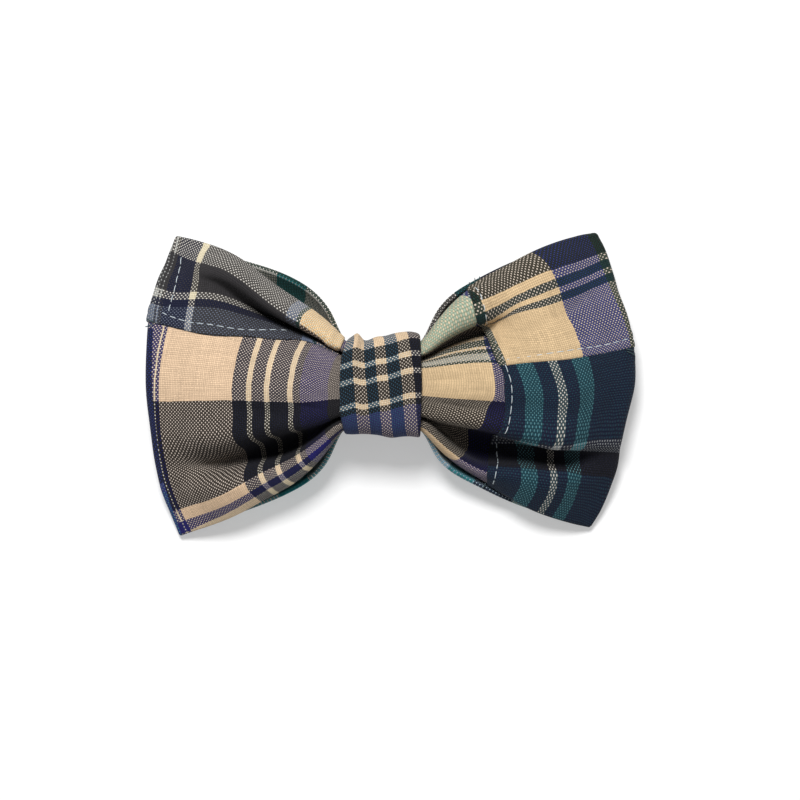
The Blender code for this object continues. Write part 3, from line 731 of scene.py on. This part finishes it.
def make_patch(panel, wing, rings, columns, materials, corner, taut=0.0):
    """A patch sewn on over the cloth: its outer face stands off the cloth's wall by the patch's own
    wall, which runs down to nothing on a quarter round at its edges, and is thicker by its turned
    edge for a few millimetres inside them. It is thinner by the wing's corner, where it is creased
    sharp. The inner face lies on the cloth."""
    wall = PATCH_WALLS[panel]
    base, facing = sampled(WALL, rings, columns), sampled(FACING, rings, columns)
    if taut:
        base, facing = stretched_over(base, facing, taut)
    facing /= np.linalg.norm(facing, axis=-1, keepdims=True)
    edge = np.minimum.reduce([*lengths_between(base, 0), *lengths_between(base, 1)])
    near = np.clip(edge / wall, 0, 1)
    turned = SINGLE_SHARE + (1 - SINGLE_SHARE) / (1 + np.exp((edge - HEM_WIDTH) / HEM_STEP))
    away = np.linalg.norm(base - corner, axis=-1)
    room = np.clip(sampled(ROOM, rings, columns), LEAST_ROOM, 1.0)
    room = room * (1 - CREASE_SHARE * np.exp(-(away / CREASE_REACH) ** 2))
    groove = GROOVE_SHARE * np.exp(-((edge - STITCH_INSET) / GROOVE_WIDTH) ** 2)
    height = wall * room * np.sqrt(1 - (1 - near) ** 2) * (turned - groove)
    outer = base + facing * (PATCH_LIFT + height)[..., None]
    inner = base + facing * PATCH_LIFT
    count, size = rings.shape
    index = np.arange(count * size).reshape(count, size)
    under = index + count * size
    under[[0, -1]] = index[[0, -1]]
    under[:, [0, -1]] = index[:, [0, -1]]
    quads = loop_quads(count, size, False, False)
    quads = np.concatenate([quads, under.reshape(-1)[quads][:, ::-1]])
    uv = sampled(thread_counts(panel, FLAT, PARTS[wing]), rings, columns)
    uv = np.concatenate([uv.reshape(-1, 2)] * 2)
    points = np.concatenate([outer.reshape(-1, 3), inner.reshape(-1, 3)])
    used, packed = np.unique(quads, return_inverse=True)
    return add_mesh(panel + "_patch", points[used], packed.reshape(-1, 4), uv[quads],
                    [materials[panel]])


CLOTH_EDGE = FOLD_LINES - 1
PATCH_WRAP = EDGE_STEPS + 5      # wall points that a patch goes on round the cloth's edge
PATCH_BEHIND = 6                 # rings that a patch goes on behind the wing's end


def seam_line(name, wing, across):
    """A seam's place as a smooth curve: its fold line at each ring, or its ring at each line."""
    ring, line = lifted(SEAMS[name], PARTS[wing]).T
    given, value = (line, ring) if across else (ring, line)
    order = np.argsort(given)
    given, value = given[order], value[order]
    keep = np.concatenate([[True], np.diff(given) > 0.5])
    given, value = given[keep], value[keep]
    return lambda at: cubic_through(
        given, value, np.clip(at, given[0], given[-1]).ravel()).reshape(np.shape(at))


def make_patches(materials):
    """The three patches: one over the left wing's top, two over the right wing's outer part."""
    seam = seam_line("left_upper", "left", False)
    along, over = graded(60, 0.55, 1.0)[:, None], graded(30, 0.5, 1.0)[None, :]
    ring = 1 + along * (LEFT_TIP + PATCH_BEHIND - 1) + 0 * over
    column = -PATCH_WRAP + over * (seam(ring) + PATCH_WRAP)
    made = [make_patch("left_upper", "left", ring, column, materials, WALL[LEFT_TIP, 0])]

    inner = seam_line("right_inner", "right", True)
    middle = seam_line("right_middle", "right", False)
    along, over = graded(40, 0.5, 1.0)[:, None], graded(36, 0.5, 1.0)[None, :]
    start = RIGHT_TIP - PATCH_BEHIND
    for panel, corner, taut in (("right_upper", 0, TAUT_REACH), ("right_lower", CLOTH_EDGE, 0.0)):
        ring = start + along * 60 + 0 * over
        for _ in range(SEAM_PASSES):
            if panel == "right_upper":
                top, bottom = -PATCH_WRAP, middle(ring)
            else:
                top, bottom = middle(ring) - SEAM_OVERLAP, CLOTH_EDGE + PATCH_WRAP
            column = top + over * (bottom - top)
            ring = start + along * (inner(np.clip(column, 0, CLOTH_EDGE)) - start)
        made.append(make_patch(panel, "right", ring, column, materials, WALL[RIGHT_TIP, corner], taut))
    return made


# Lines of top stitching: the wing, the patch and places, in millimetres
STITCH_LINES = (
    ("left", "left_upper", (
        (-52.8, 18), (-50.9, 16.8), (-46.8, 15.4), (-43.4, 14.8), (-37.7, 13.9), (-31.7, 13.1),
        (-25.4, 13), (-21, 12.6))),
    ("left", "left_upper", (
        (-48, 31.4), (-49.2, 24.4), (-50.4, 19.7), (-51.1, 15.1))),
    ("right", "right_upper", (
        (21.4, 23.5), (24.5, 17.8), (27.1, 11), (29.7, 4.3), (30.9, 0.5), (31.1, -3.1), (30.5, -8.6),
        (28.8, -11.5))),
    ("right", "right_lower", (
        (27.7, -11.8), (28.1, -17), (27.7, -20.6), (26.6, -24.2))),
    ("right", "right_upper", (
        (28.8, 5.8), (34.1, 6.7), (41.8, 7.9), (48.7, 8.9), (54, 9.8), (59.5, 11.3))),
)
STITCH_LENGTH = 2.3 * MM
STITCH_GAP = 0.25 * MM
STITCH_RADIUS = 0.105 * MM
STITCH_START = 0.3 * MM      # from a line's end to its first stitch
STITCH_BED = 0.62            # how high the stitches lie, as a share of the patch's wall
STITCH_ARCH = 0.34 * MM      # a stitch's rise between its holes, and how deep its ends sink
STITCH_SINK = 0.12 * MM
THREAD_SIDES = 6


def thread_tubes(paths, normals, radius):
    """Thin tubes along many short paths (path, station, xyz), rounded down to a point at each end."""
    tangent = np.gradient(paths, axis=1)
    tangent /= np.linalg.norm(tangent, axis=-1, keepdims=True)
    beside = np.cross(tangent, normals)
    beside /= np.linalg.norm(beside, axis=-1, keepdims=True)
    above = np.cross(beside, tangent)
    share = np.linspace(-1, 1, paths.shape[1])
    swell = radius * np.sqrt(np.clip(1 - share ** 6, 0.02, 1))[None, :, None, None]
    turn = np.linspace(0, 2 * math.pi, THREAD_SIDES, endpoint=False)[None, None, :, None]
    points = paths[:, :, None] + swell * (
        beside[:, :, None] * np.cos(turn) + above[:, :, None] * np.sin(turn))
    count, stations = paths.shape[:2]
    station, side = np.arange(stations - 1)[:, None], np.arange(THREAD_SIDES)[None, :]
    here, ahead, next_side = station * THREAD_SIDES, (station + 1) * THREAD_SIDES, (side + 1) % THREAD_SIDES
    quads = np.stack([here + side, ahead + side, ahead + next_side, here + next_side], axis=-1)
    caps = np.array([[0, 1, 2, 3], [0, 3, 4, 5]])
    last = (stations - 1) * THREAD_SIDES
    quads = np.concatenate([quads.reshape(-1, 4), caps, last + caps[:, ::-1]])
    offset = np.arange(count)[:, None, None] * stations * THREAD_SIDES
    return points.reshape(-1, 3), (quads[None] + offset).reshape(-1, 4)


# Loose thread ends at the patches' edges: where each starts and ends, in millimetres
THREAD_ENDS = (
    ("right", (21.6, 23.4), (21.0, 24.9)), ("right", (22.3, 23.9), (22.4, 25.9)),
    ("right", (23.0, 24.4), (23.6, 26.3)), ("right", (25.2, -23.2), (24.4, -24.6)),
    ("right", (58.7, 8.9), (60.8, 8.5)), ("right", (58.9, 8.4), (61.0, 7.4)),
    ("left", (-54.6, 15.3), (-56.6, 16.2)), ("left", (-54.6, 14.9), (-56.9, 14.2)),
)
END_RADIUS = 0.13 * MM
END_LIFT = 0.5 * MM          # how high an end leaves the cloth, then how it arches, drops and curls
END_ARCH = 0.35 * MM
END_DROP = 0.6 * MM
END_CURL = 0.15 * MM


def make_thread_ends(material):
    """Loose ends: thin tubes that leave the cloth on a low arch."""
    share = np.linspace(0, 1, 8)
    rise = np.sin(math.pi * share)
    paths = []
    for wing, start, stop in THREAD_ENDS:
        ring, line = lifted([start], PARTS[wing]).T
        level = sampled(WALL, ring, line)[0, 2] + END_LIFT
        x, y = (a * MM + (b - a) * MM * share for a, b in zip(start, stop))
        paths.append(np.stack([x + END_CURL * rise, y, level + END_ARCH * rise - END_DROP * share], -1))
    paths = np.stack(paths)
    up = np.broadcast_to(np.array([0.0, 0.0, 1.0]), paths.shape)
    points, quads = thread_tubes(paths, up, END_RADIUS)
    return add_mesh("loose_threads", points, quads, np.zeros((len(quads), 4, 2)), [material])


def make_stitches(material):
    """Top stitching: short tubes one after another along each line, each dipping into its holes."""
    share = np.linspace(0, 1, 8)
    arch = STITCH_ARCH * np.sin(math.pi * share) ** 0.5 - STITCH_SINK
    paths, facings = [], []
    for wing, panel, places in STITCH_LINES:
        ring, line = lifted(places, PARTS[wing]).T
        at = np.arange(len(ring), dtype=float)
        fine = np.linspace(0, len(ring) - 1, 400)
        ring, line = cubic_through(at, ring, fine), cubic_through(at, line, fine)
        track, facing = sampled(WALL, ring, line), sampled(FACING, ring, line)
        room = np.clip(sampled(ROOM, ring, line), LEAST_ROOM, 1)[:, None]
        track = track + facing * PATCH_WALLS[panel] * STITCH_BED * room
        length = np.concatenate([[0], np.cumsum(np.linalg.norm(np.diff(track, axis=0), axis=1))])
        first = np.arange(STITCH_START, length[-1] - STITCH_LENGTH, STITCH_LENGTH + STITCH_GAP)
        stations = first[:, None] + STITCH_LENGTH * share
        path, normal = (
            np.stack([np.interp(stations, length, values[:, i]) for i in range(3)], -1)
            for values in (track, facing))
        paths.append(path + normal * arch[None, :, None])
        facings.append(normal)
    points, quads = thread_tubes(np.concatenate(paths), np.concatenate(facings), STITCH_RADIUS)
    return add_mesh("top_stitching", points, quads, np.zeros((len(quads), 4, 2)), [material])


# The knot band's outline seen from above, in millimetres: its front's top and bottom edges
KNOT_TOP = ((-9.8, 11.2), (-8.6, 11.7), (-7.4, 12.3), (-6.5, 12.6), (-5.5, 12.0), (-4.8, 11.3),
            (-3.6, 10.9), (-2.4, 11.3), (-1.0, 11.8), (1.0, 12.0), (2.4, 12.4), (5.0, 12.9),
            (7.4, 13.0), (8.6, 12.8), (9.8, 12.4))
KNOT_BOTTOM = ((-9.8, -11.5), (-7.2, -11.6), (-4.8, -11.5), (-2.4, -11.6), (0.0, -11.9),
               (2.4, -12.4), (4.6, -12.2), (7.4, -12.1), (9.8, -12.4))
KNOT_TOP_LINE = (11.6 * MM, 12.8 * MM)   # the top edge's even line, which its humps rise from
HUMP_RISE = 0.8                          # a hump's rise in front, over its height along the edge
KNOT_ALONG = 64
KNOT_ROUND = 220
RIM_STEPS = 5                # points round a band's rim
ELASTIC_WALL = 0.0011
ELASTIC_ROUND = 220
ELASTIC_ACROSS = 61
ELASTIC_RIB = 0.9 * MM
ELASTIC_RELIEF = 0.05 * MM


def squared_oval(angle, half_height, half_depth):
    """Points (y, z) of a superellipse: each radius is that of the unit direction's p-norm."""
    c, s = np.cos(angle), np.sin(angle)
    size = (np.abs(c) ** KNOT_POWER + np.abs(s) ** KNOT_POWER) ** (1 / KNOT_POWER)
    return half_height * c / size, half_depth * s / size


def band_section(half, wall, count, relief=0.0):
    """Once round a flat band's section, as places across it and depths under its outer face: over
    the outer face, round one rim on a half circle, back over the inner face and round the other.
    relief: half the depth of the grooves between its ribs."""
    radius = wall / 2
    flat = np.linspace(-1, 1, count) * (half - radius)
    turn = np.linspace(0, math.pi, RIM_STEPS + 2)[1:-1]
    rise = relief * (np.cos(2 * math.pi * flat / ELASTIC_RIB) - 1)
    across = np.concatenate([
        flat, half - radius + radius * np.sin(turn), flat[::-1], -half + radius - radius * np.sin(turn)])
    depth = np.concatenate([
        -rise, radius * (1 - np.cos(turn)), wall + rise, radius * (1 + np.cos(turn))])
    return across, depth


def knot_wall():
    """The band's wall as a grid (along the wall's own closed section, round the band), with the
    flat cloth's place (u, v): u along the bow and v round the band from its top edge in front.

    Each ring is a squared oval whose height follows the outline, and the front swells and dips a
    little with the outline's own humps."""
    half = KNOT_WIDTH / 2
    x, inset = band_section(half, BAND_WALL, KNOT_ALONG)
    angle = np.linspace(0, 2 * math.pi, KNOT_ROUND, endpoint=False)[None, :]
    top, bottom = (
        cubic_through([px * MM for px, _ in edge], [py * MM for _, py in edge], x)[:, None]
        for edge in (KNOT_TOP, KNOT_BOTTOM))
    y, z = squared_oval(angle, (top - bottom) / 2 - inset[:, None], KNOT_DEPTH / 2 - inset[:, None])
    humps = top - np.interp(x, [-half, half], KNOT_TOP_LINE)[:, None]
    z = z + HUMP_RISE * humps * np.clip(np.sin(angle), 0, 1) * np.clip(y / (KNOT_HEIGHT / 2), 0, 1)
    y = y + (top + bottom) / 2
    share = x[:, None] / half
    left, right = (np.clip(side * share, 0, 1) ** 2 * drawn_in(y, side) for side in (-1, 1))
    grid = np.stack([x[:, None] + left - right, y, z + KNOT_LEVEL], axis=-1)
    ring = np.linalg.norm(np.roll(grid, -1, axis=1) - grid, axis=2)
    v = np.concatenate([np.zeros((len(x), 1)), np.cumsum(ring, axis=1)[:, :-1]], axis=1)
    v = v - v[:, KNOT_ROUND // 4, None] + KNOT_HEIGHT / 2
    u = np.broadcast_to((x + half)[:, None], v.shape)
    return grid, np.stack([u, v], axis=-1)


def make_knot(materials):
    """The band round the waist, in its own plaid."""
    quads = loop_quads(*KNOT_WALL.shape[:2])
    uv = corner_values(thread_counts("knot", KNOT_FLAT, PARTS["knot"]), quads)
    last = (quads % KNOT_ROUND)[:, 0] == KNOT_ROUND - 1
    uv[last, 1:3, 1] = uv[last, 0:1, 1] + 1
    return add_mesh("knot_cloth", KNOT_WALL.reshape(-1, 3), quads, uv, [materials["knot"]])


def make_elastic(material):
    """The collar's elastic: a flat loop with half-round ends. Its wall is carried round the loop
    from a section with round edges, whose faces rise and fall in ribs across its width."""
    low, high = (np.array(corner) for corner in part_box("collar_loop"))
    half, radius = (high[0] - low[0]) / 2, (high[2] - low[2]) / 2
    straight = (high[1] - low[1]) / 2 - radius
    arc = math.pi * radius
    way = np.linspace(0, 1, ELASTIC_ROUND, endpoint=False) * (4 * straight + 2 * arc)
    first = np.clip(way, 0, 2 * straight)
    second = np.clip(way - 2 * straight, 0, arc) / radius
    third = np.clip(way - 2 * straight - arc, 0, 2 * straight)
    fourth = np.clip(way - 4 * straight - arc, 0, arc) / radius
    turn = second + fourth
    y = -straight + first - third + radius * np.sin(second) - radius * np.sin(fourth)
    z = -radius * np.cos(turn) + (high[2] + low[2]) / 2
    outward = np.stack([0 * turn, np.sin(turn), -np.cos(turn)], axis=-1)
    x, inset = band_section(half, ELASTIC_WALL, ELASTIC_ACROSS, ELASTIC_RELIEF)
    points = np.stack([0 * y, y, z], axis=-1)[:, None] - outward[:, None] * inset[None, :, None]
    points[..., 0] += x[None, :]
    quads = loop_quads(*points.shape[:2])
    place = np.stack(np.broadcast_arrays(x[None, :], way[:, None]), axis=-1) / THREAD
    return add_mesh("elastic_tape", points.reshape(-1, 3), quads, corner_values(place, quads),
                    [material])


def linear(color):
    """A colour of 0 to 255 steps, as a screen shows it, in linear light."""
    share = np.array(color) / 255.0
    light = np.where(share <= 0.04045, share / 12.92, ((share + 0.055) / 1.055) ** 2.4)
    return (*light.tolist(), 1.0)


class Nodes:
    """A node tree that is written as a chain of calls."""

    def __init__(self, tree):
        self.tree = tree

    def feed(self, node, inputs):
        """A node's inputs, each a value or another node's output."""
        for key, value in inputs.items():
            if isinstance(value, bpy.types.NodeSocket):
                self.tree.links.new(value, node.inputs[key])
            else:
                node.inputs[key].default_value = value
        return node

    def add(self, kind, inputs=None, **settings):
        """One node, with its settings and its inputs."""
        node = self.tree.nodes.new("ShaderNode" + kind)
        for name, value in settings.items():
            setattr(node, name, value)
        return self.feed(node, inputs or {})

    def math(self, operation, *values):
        """A number worked out from the values."""
        return self.add("Math", dict(enumerate(values)), operation=operation).outputs[0]

    def vector_math(self, operation, inputs):
        """A vector worked out from the inputs."""
        return self.add("VectorMath", inputs, operation=operation).outputs[0]

    def noise(self, place, scale, detail, output="Fac", **settings):
        """Smooth noise: a number, or a colour of three numbers."""
        inputs = {"Vector": place, "Scale": scale, "Detail": detail}
        return self.add("TexNoise", inputs, **settings).outputs[output]

    def grey(self, value):
        """A grey as light as the value."""
        return self.add("CombineColor", {0: value, 1: value, 2: value}).outputs[0]

    def bump(self, height, strength, distance):
        """The surface's normal, tilted by the slope of the height."""
        inputs = {"Height": height, "Strength": strength, "Distance": distance}
        return self.add("Bump", inputs).outputs[0]

    def pick(self, share, first, second):
        """A number between two."""
        return self.add("Mix", {0: share, 2: first, 3: second}, data_type="FLOAT").outputs[0]

    def mix(self, share, first, second, blend="MIX"):
        """A colour mix; first and second are colours or outputs."""
        inputs = {0: share, 6: first, 7: second}
        return self.add("Mix", inputs, data_type="RGBA", blend_type=blend).outputs[2]


def new_material(name):
    """A material, with its nodes as a chain, its shader and its place in the object's own axes."""
    material = bpy.data.materials.new(name)
    material.use_nodes = True
    n = Nodes(material.node_tree)
    place = n.add("TexCoord").outputs["Object"]
    return material, n, material.node_tree.nodes["Principled BSDF"], place


RAMP_THREADS = 255       # a colour ramp tells this many threads apart
EDGE_LOW = 0.56          # heights on a thread between which a darker thread beside it comes into view
EDGE_HIGH = 0.88
THREAD_ROUND = 0.6       # the power that rounds a thread across, and its arch as (slope, base)
THREAD_ARCH = (0.45, 0.55)
DRIFTS = ((0.02, 1.8), (0.22, 0.6))      # how threads wander: scale, and size in threads
SHOW_THROUGH = 0.05      # how much of the lower thread's colour reaches the upper one's
PALE_GAIN = 1.6          # how much a light thread over a dark one loses of its colour, and the most
PALE_MOST = 0.55

# As (slope, base): painted shade in the gaps between threads by a thread's height, and changes of tone by
# its own tone and by slow mottle
GAP_PAINTED_SHADE = (0.62, 0.50)
TONE_LIGHT = (0.55, 0.72)
MOTTLE_LIGHT = (0.30, 0.85)
PAINTED_CREST_HIGHLIGHT = 0.018      # painted highlight: how pale a thread's crest is, by its height
DUST_LIGHT = 0.11
# the pale colour of the random fuzz dust and of the painted highlight on thread crests
DUST_AND_HIGHLIGHT_COLOR = (0.55, 0.53, 0.52, 1.0)
MOTTLE_SCALE = 140.0
FUZZ_SCALE = 5200.0
COTTON_RELIEF = 0.10 * MM


def weave_group():
    """Plain weave, worked out from the weave's UV map, which counts threads: which thread lies on
    top at each crossing, its number, its rounded height, and small differences of tone."""
    tree = bpy.data.node_groups.new("plain_weave", "ShaderNodeTree")
    n = Nodes(tree)
    place = n.add("UVMap", uv_map="weave").outputs[0]
    moved = place
    for scale, size in DRIFTS:
        noise = n.noise(place, scale, 2.0, "Color", noise_dimensions="2D")
        centred = n.vector_math("SUBTRACT", {0: noise, 1: (0.5, 0.5, 0.5)})
        step = n.vector_math("SCALE", {0: centred, "Scale": size})
        moved = n.vector_math("ADD", {0: moved, 1: step})
    warp, weft = n.add("SeparateXYZ", {0: moved}).outputs[:2]
    warp_number, weft_number = n.math("FLOOR", warp), n.math("FLOOR", weft)
    across_warp, across_weft = (
        n.math("SINE", n.math("MULTIPLY", n.math("FRACT", value), math.pi)) for value in (warp, weft))
    odd = n.math("FLOORED_MODULO", n.math("ADD", warp_number, weft_number), 2.0)
    up = n.math("LESS_THAN", odd, 0.5)

    def top(across, along):
        """A thread's height where it passes over: round across it, arched along it."""
        arch = n.math("MULTIPLY_ADD", along, *THREAD_ARCH)
        return n.math("MULTIPLY", n.math("POWER", across, THREAD_ROUND), arch)

    def tone(number, along, seed):
        """Each thread's own shade, which changes slowly along it."""
        spot = n.add("CombineXYZ", {
            0: n.math("ADD", number, seed), 1: n.math("MULTIPLY", along, 0.06)}).outputs[0]
        return n.noise(spot, 1.37, 1.0, noise_dimensions="2D")

    height = n.pick(up, top(across_weft, across_warp), top(across_warp, across_weft))
    edge = n.add("MapRange", {"Value": height, 1: EDGE_LOW, 2: EDGE_HIGH, 3: 1.0, 4: 0.0}).outputs[0]
    shade = n.pick(up, tone(weft_number, warp, 311.5), tone(warp_number, weft, 17.5))
    warp_place, weft_place = (
        n.math("DIVIDE", n.math("ADD", number, 0.5), RAMP_THREADS) for number in (warp_number, weft_number))
    results = {"Warp Place": warp_place, "Weft Place": weft_place, "Warp Up": up,
               "Height": height, "Edge": edge, "Tone": shade}
    for name in results:
        tree.interface.new_socket(name, in_out="OUTPUT", socket_type="NodeSocketFloat")
    n.feed(tree.nodes.new("NodeGroupOutput"), results)
    return tree


def stripe_ramp(n, chart, place):
    """A colour ramp with one flat step for each stripe of threads in a chart."""
    node = n.add("ValToRGB", {0: place})
    ramp = node.color_ramp
    ramp.interpolation = "CONSTANT"
    count = 0
    stripes = [stripe.split() for stripe in chart.split(", ")]
    for i, (color, threads) in enumerate(stripes):
        at = max(0.0, (count - 0.5) / RAMP_THREADS)
        step = ramp.elements[0] if i == 0 else ramp.elements.new(at)
        step.position, step.color = at, linear(THREAD_COLORS[color])
        count += int(threads)
    while len(ramp.elements) > len(stripes):
        ramp.elements.remove(ramp.elements[-1])
    return node.outputs[0]


def cotton(name, chart, weave):
    """Woven cotton in a plaid: each crossing shows its upper thread's colour, with painted shade in the
    gaps between threads and a painted highlight on their crests, a little uneven from thread to thread,
    soft with fine fuzz, over slow changes of tone."""
    material, n, shader, place = new_material(name)
    cloth = n.add("Group", node_tree=weave).outputs
    warp, weft = (
        stripe_ramp(n, stripes, cloth[end]) for stripes, end in zip(chart, ("Warp Place", "Weft Place")))
    upper, lower = n.mix(cloth["Warp Up"], weft, warp), n.mix(cloth["Warp Up"], warp, weft)
    color = n.mix(cloth["Edge"], upper, lower, "DARKEN")
    color = n.mix(SHOW_THROUGH, color, lower)
    grey, above, below = (n.add("RGBToBW", {0: value}).outputs[0] for value in (color, upper, lower))
    apart = n.math("MAXIMUM", n.math("SUBTRACT", above, below), 0.0)
    pale = n.math("MINIMUM", n.math("MULTIPLY", apart, PALE_GAIN), PALE_MOST)
    color = n.mix(pale, color, n.grey(grey))
    fuzz = n.noise(place, FUZZ_SCALE, 2.0)
    # Painted shade in the gaps between threads by a thread's height, times the tone of each thread and of
    # slow mottle
    light = n.math("MULTIPLY_ADD", cloth["Height"], *GAP_PAINTED_SHADE)
    for value, share in ((cloth["Tone"], TONE_LIGHT), (n.noise(place, MOTTLE_SCALE, 3.0), MOTTLE_LIGHT)):
        light = n.math("MULTIPLY", light, n.math("MULTIPLY_ADD", value, *share))
    color = n.mix(1.0, color, n.grey(light), "MULTIPLY")
    # Random pale fuzz dust, and a painted highlight on each thread's crest by its height, both mixed toward
    # one pale colour
    dust, crest = (
        n.math("MULTIPLY", n.math("POWER", value, 4.0), share)
        for value, share in ((fuzz, DUST_LIGHT), (cloth["Height"], PAINTED_CREST_HIGHLIGHT)))
    color = n.mix(n.math("ADD", dust, crest), color, DUST_AND_HIGHLIGHT_COLOR)
    relief = n.math("ADD", cloth["Height"], n.math("MULTIPLY", fuzz, 0.3))
    n.feed(shader, {
        "Base Color": color, "Roughness": n.math("MULTIPLY_ADD", fuzz, 0.12, 0.80),
        "Normal": n.bump(relief, 0.7, COTTON_RELIEF), "Specular IOR Level": 0.10,
        "Sheen Weight": 0.03, "Sheen Roughness": 0.5})
    return material


def thread_material(name, dark, pale):
    """Thread: twisted, with a soft shine."""
    material, n, shader, place = new_material(name)
    noise = n.noise(place, 2400.0, 2.0)
    n.feed(shader, {
        "Base Color": n.mix(noise, linear(dark), linear(pale)),
        "Normal": n.bump(noise, 0.5, 0.05 * MM), "Roughness": 0.55})
    return material


def elastic_material():
    """Black knitted elastic: fine rows across the ribs, with a painted highlight on their crests and
    painted shade in their grooves, a little random in tone, and a dull sheen.
    """
    material, n, shader, _ = new_material("black_elastic")
    place = n.add("UVMap", uv_map="weave").outputs[0]
    across, along = n.add("SeparateXYZ", {0: place}).outputs[:2]
    rows, ribs = (
        n.math("MULTIPLY", n.math("SINE", n.math("MULTIPLY", value, 2 * math.pi * turns)), share)
        for value, turns, share in ((along, 0.7, 0.5), (across, 0.8, 0.3)))
    height = n.math("ADD", rows, ribs)
    # Painted highlight on the crests and painted shade in the grooves, by the rows' and ribs' height, with
    # random tone from noise
    tone = n.math("MULTIPLY_ADD", n.math("ADD", height, n.noise(place, 1.1, 2.0)), 0.25, 0.35)
    n.feed(shader, {
        "Base Color": n.mix(tone, linear((16, 16, 18)), linear((58, 58, 62))),
        "Normal": n.bump(height, 0.6, 0.08 * MM), "Roughness": 0.7})
    return material


def make_studio():
    """A pale floor that glows a little, as a light table does, even light from all round and a soft
    light from beyond the bow's top edge."""
    paper, n, shader, place = new_material("white_paper")
    grain = n.noise(place, 60.0, 2.0)
    n.feed(shader, {
        "Base Color": n.mix(grain, linear((204, 204, 204)), linear((210, 210, 210))),
        "Roughness": 0.9, "Specular IOR Level": 0.1, "Emission Color": (1.0, 1.0, 1.0, 1.0),
        "Emission Strength": FLOOR_GLOW})
    corners = [(x * FLOOR_HALF, y * FLOOR_HALF, 0) for x, y in ((-1, -1), (1, -1), (1, 1), (-1, 1))]
    mesh = bpy.data.meshes.new("floor")
    mesh.from_pydata(corners, [], [(0, 1, 2, 3)])
    mesh.materials.append(paper)
    floor = bpy.data.objects.new("floor", mesh)
    bpy.context.scene.collection.objects.link(floor)

    world = bpy.data.worlds.new("studio")
    world.use_nodes = True
    background = world.node_tree.nodes["Background"]
    background.inputs["Color"].default_value = (1.0, 1.0, 1.0, 1.0)
    background.inputs["Strength"].default_value = WORLD_LIGHT
    bpy.context.scene.world = world

    light = bpy.data.lights.new("window", "AREA")
    light.shape = "DISK"
    light.size = LIGHT_SIZE
    light.energy = LIGHT_POWER
    lamp = bpy.data.objects.new("window", light)
    rise = math.radians(LIGHT_RISE)
    lamp.location = (LIGHT_SIDE, LIGHT_AWAY * math.cos(rise), LIGHT_AWAY * math.sin(rise))
    lamp.rotation_euler = (-lamp.location).to_track_quat("-Z", "Y").to_euler()
    bpy.context.scene.collection.objects.link(lamp)


FLOOR_HALF = 0.6
FLOOR_GLOW = 0.345
WORLD_LIGHT = 0.30
LIGHT_POWER = 15.8
LIGHT_SIZE = 0.38
LIGHT_AWAY = 1.2
LIGHT_RISE = 62.0
LIGHT_SIDE = -0.12

PICTURE_WIDTH = 0.192        # what the picture's width covers at the bow's middle height
PICTURE_CENTRE = (0.00456, -0.00336)
CAMERA_HEIGHT = 1.0
MIDDLE_LEVEL = 0.012


def make_camera():
    """Straight above the bow, far off on a long lens."""
    data = bpy.data.cameras.new("camera")
    data.sensor_width = 36.0
    data.lens = data.sensor_width * CAMERA_HEIGHT / PICTURE_WIDTH
    camera = bpy.data.objects.new("camera", data)
    camera.location = (*PICTURE_CENTRE, MIDDLE_LEVEL + CAMERA_HEIGHT)
    bpy.context.scene.collection.objects.link(camera)
    bpy.context.scene.camera = camera
    bpy.context.scene.view_settings.view_transform = "Standard"


# The whole bow's surfaces, which the pieces share
SHEET = dented(bow_sheet(np.linspace(0, 1, FOLD_LINES), LOOP_RINGS))
WALL, FACING, ROOM, FLAT = wall_rings(SHEET)
KNOT_WALL, KNOT_FLAT = knot_wall()

Part = namedtuple("Part", "rows seen")
left_rows = np.arange(0, LEFT_TIP + 2)
right_rows = np.arange(RIGHT_TIP - 1, RIGHT_WAIST + 1)
knot_rows = np.arange(KNOT_ALONG)
PARTS = {
    "left": Part(left_rows, WALL[left_rows, :FOLD_LINES]),
    "right": Part(right_rows, WALL[right_rows, :FOLD_LINES]),
    "knot": Part(knot_rows, KNOT_WALL[knot_rows, :KNOT_ROUND // 2 + 1]),
}

weave = weave_group()
cottons = {panel: cotton(panel + "_cotton", chart, weave) for panel, chart in CHARTS.items()}
bow_cloth = make_bow_cloth(cottons)
patches = make_patches(cottons)
knot_cloth = make_knot(cottons)
stitching = make_stitches(thread_material("sewing_thread", (140, 160, 172), (226, 230, 230)))
loose_threads = make_thread_ends(thread_material("loose_thread", (12, 30, 34), (60, 84, 86)))
elastic = make_elastic(elastic_material())

for piece, node, slot in (
        (bow_cloth, "bow_loop", "patchwork_cotton"),
        (knot_cloth, "knot_band", "plaid_cotton"),
        (elastic, "collar_loop", "elastic_tape")):
    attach(piece, "root")
    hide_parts(node)
for piece in (*patches, stitching, loose_threads):
    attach(piece, "root")

make_camera()
make_studio()
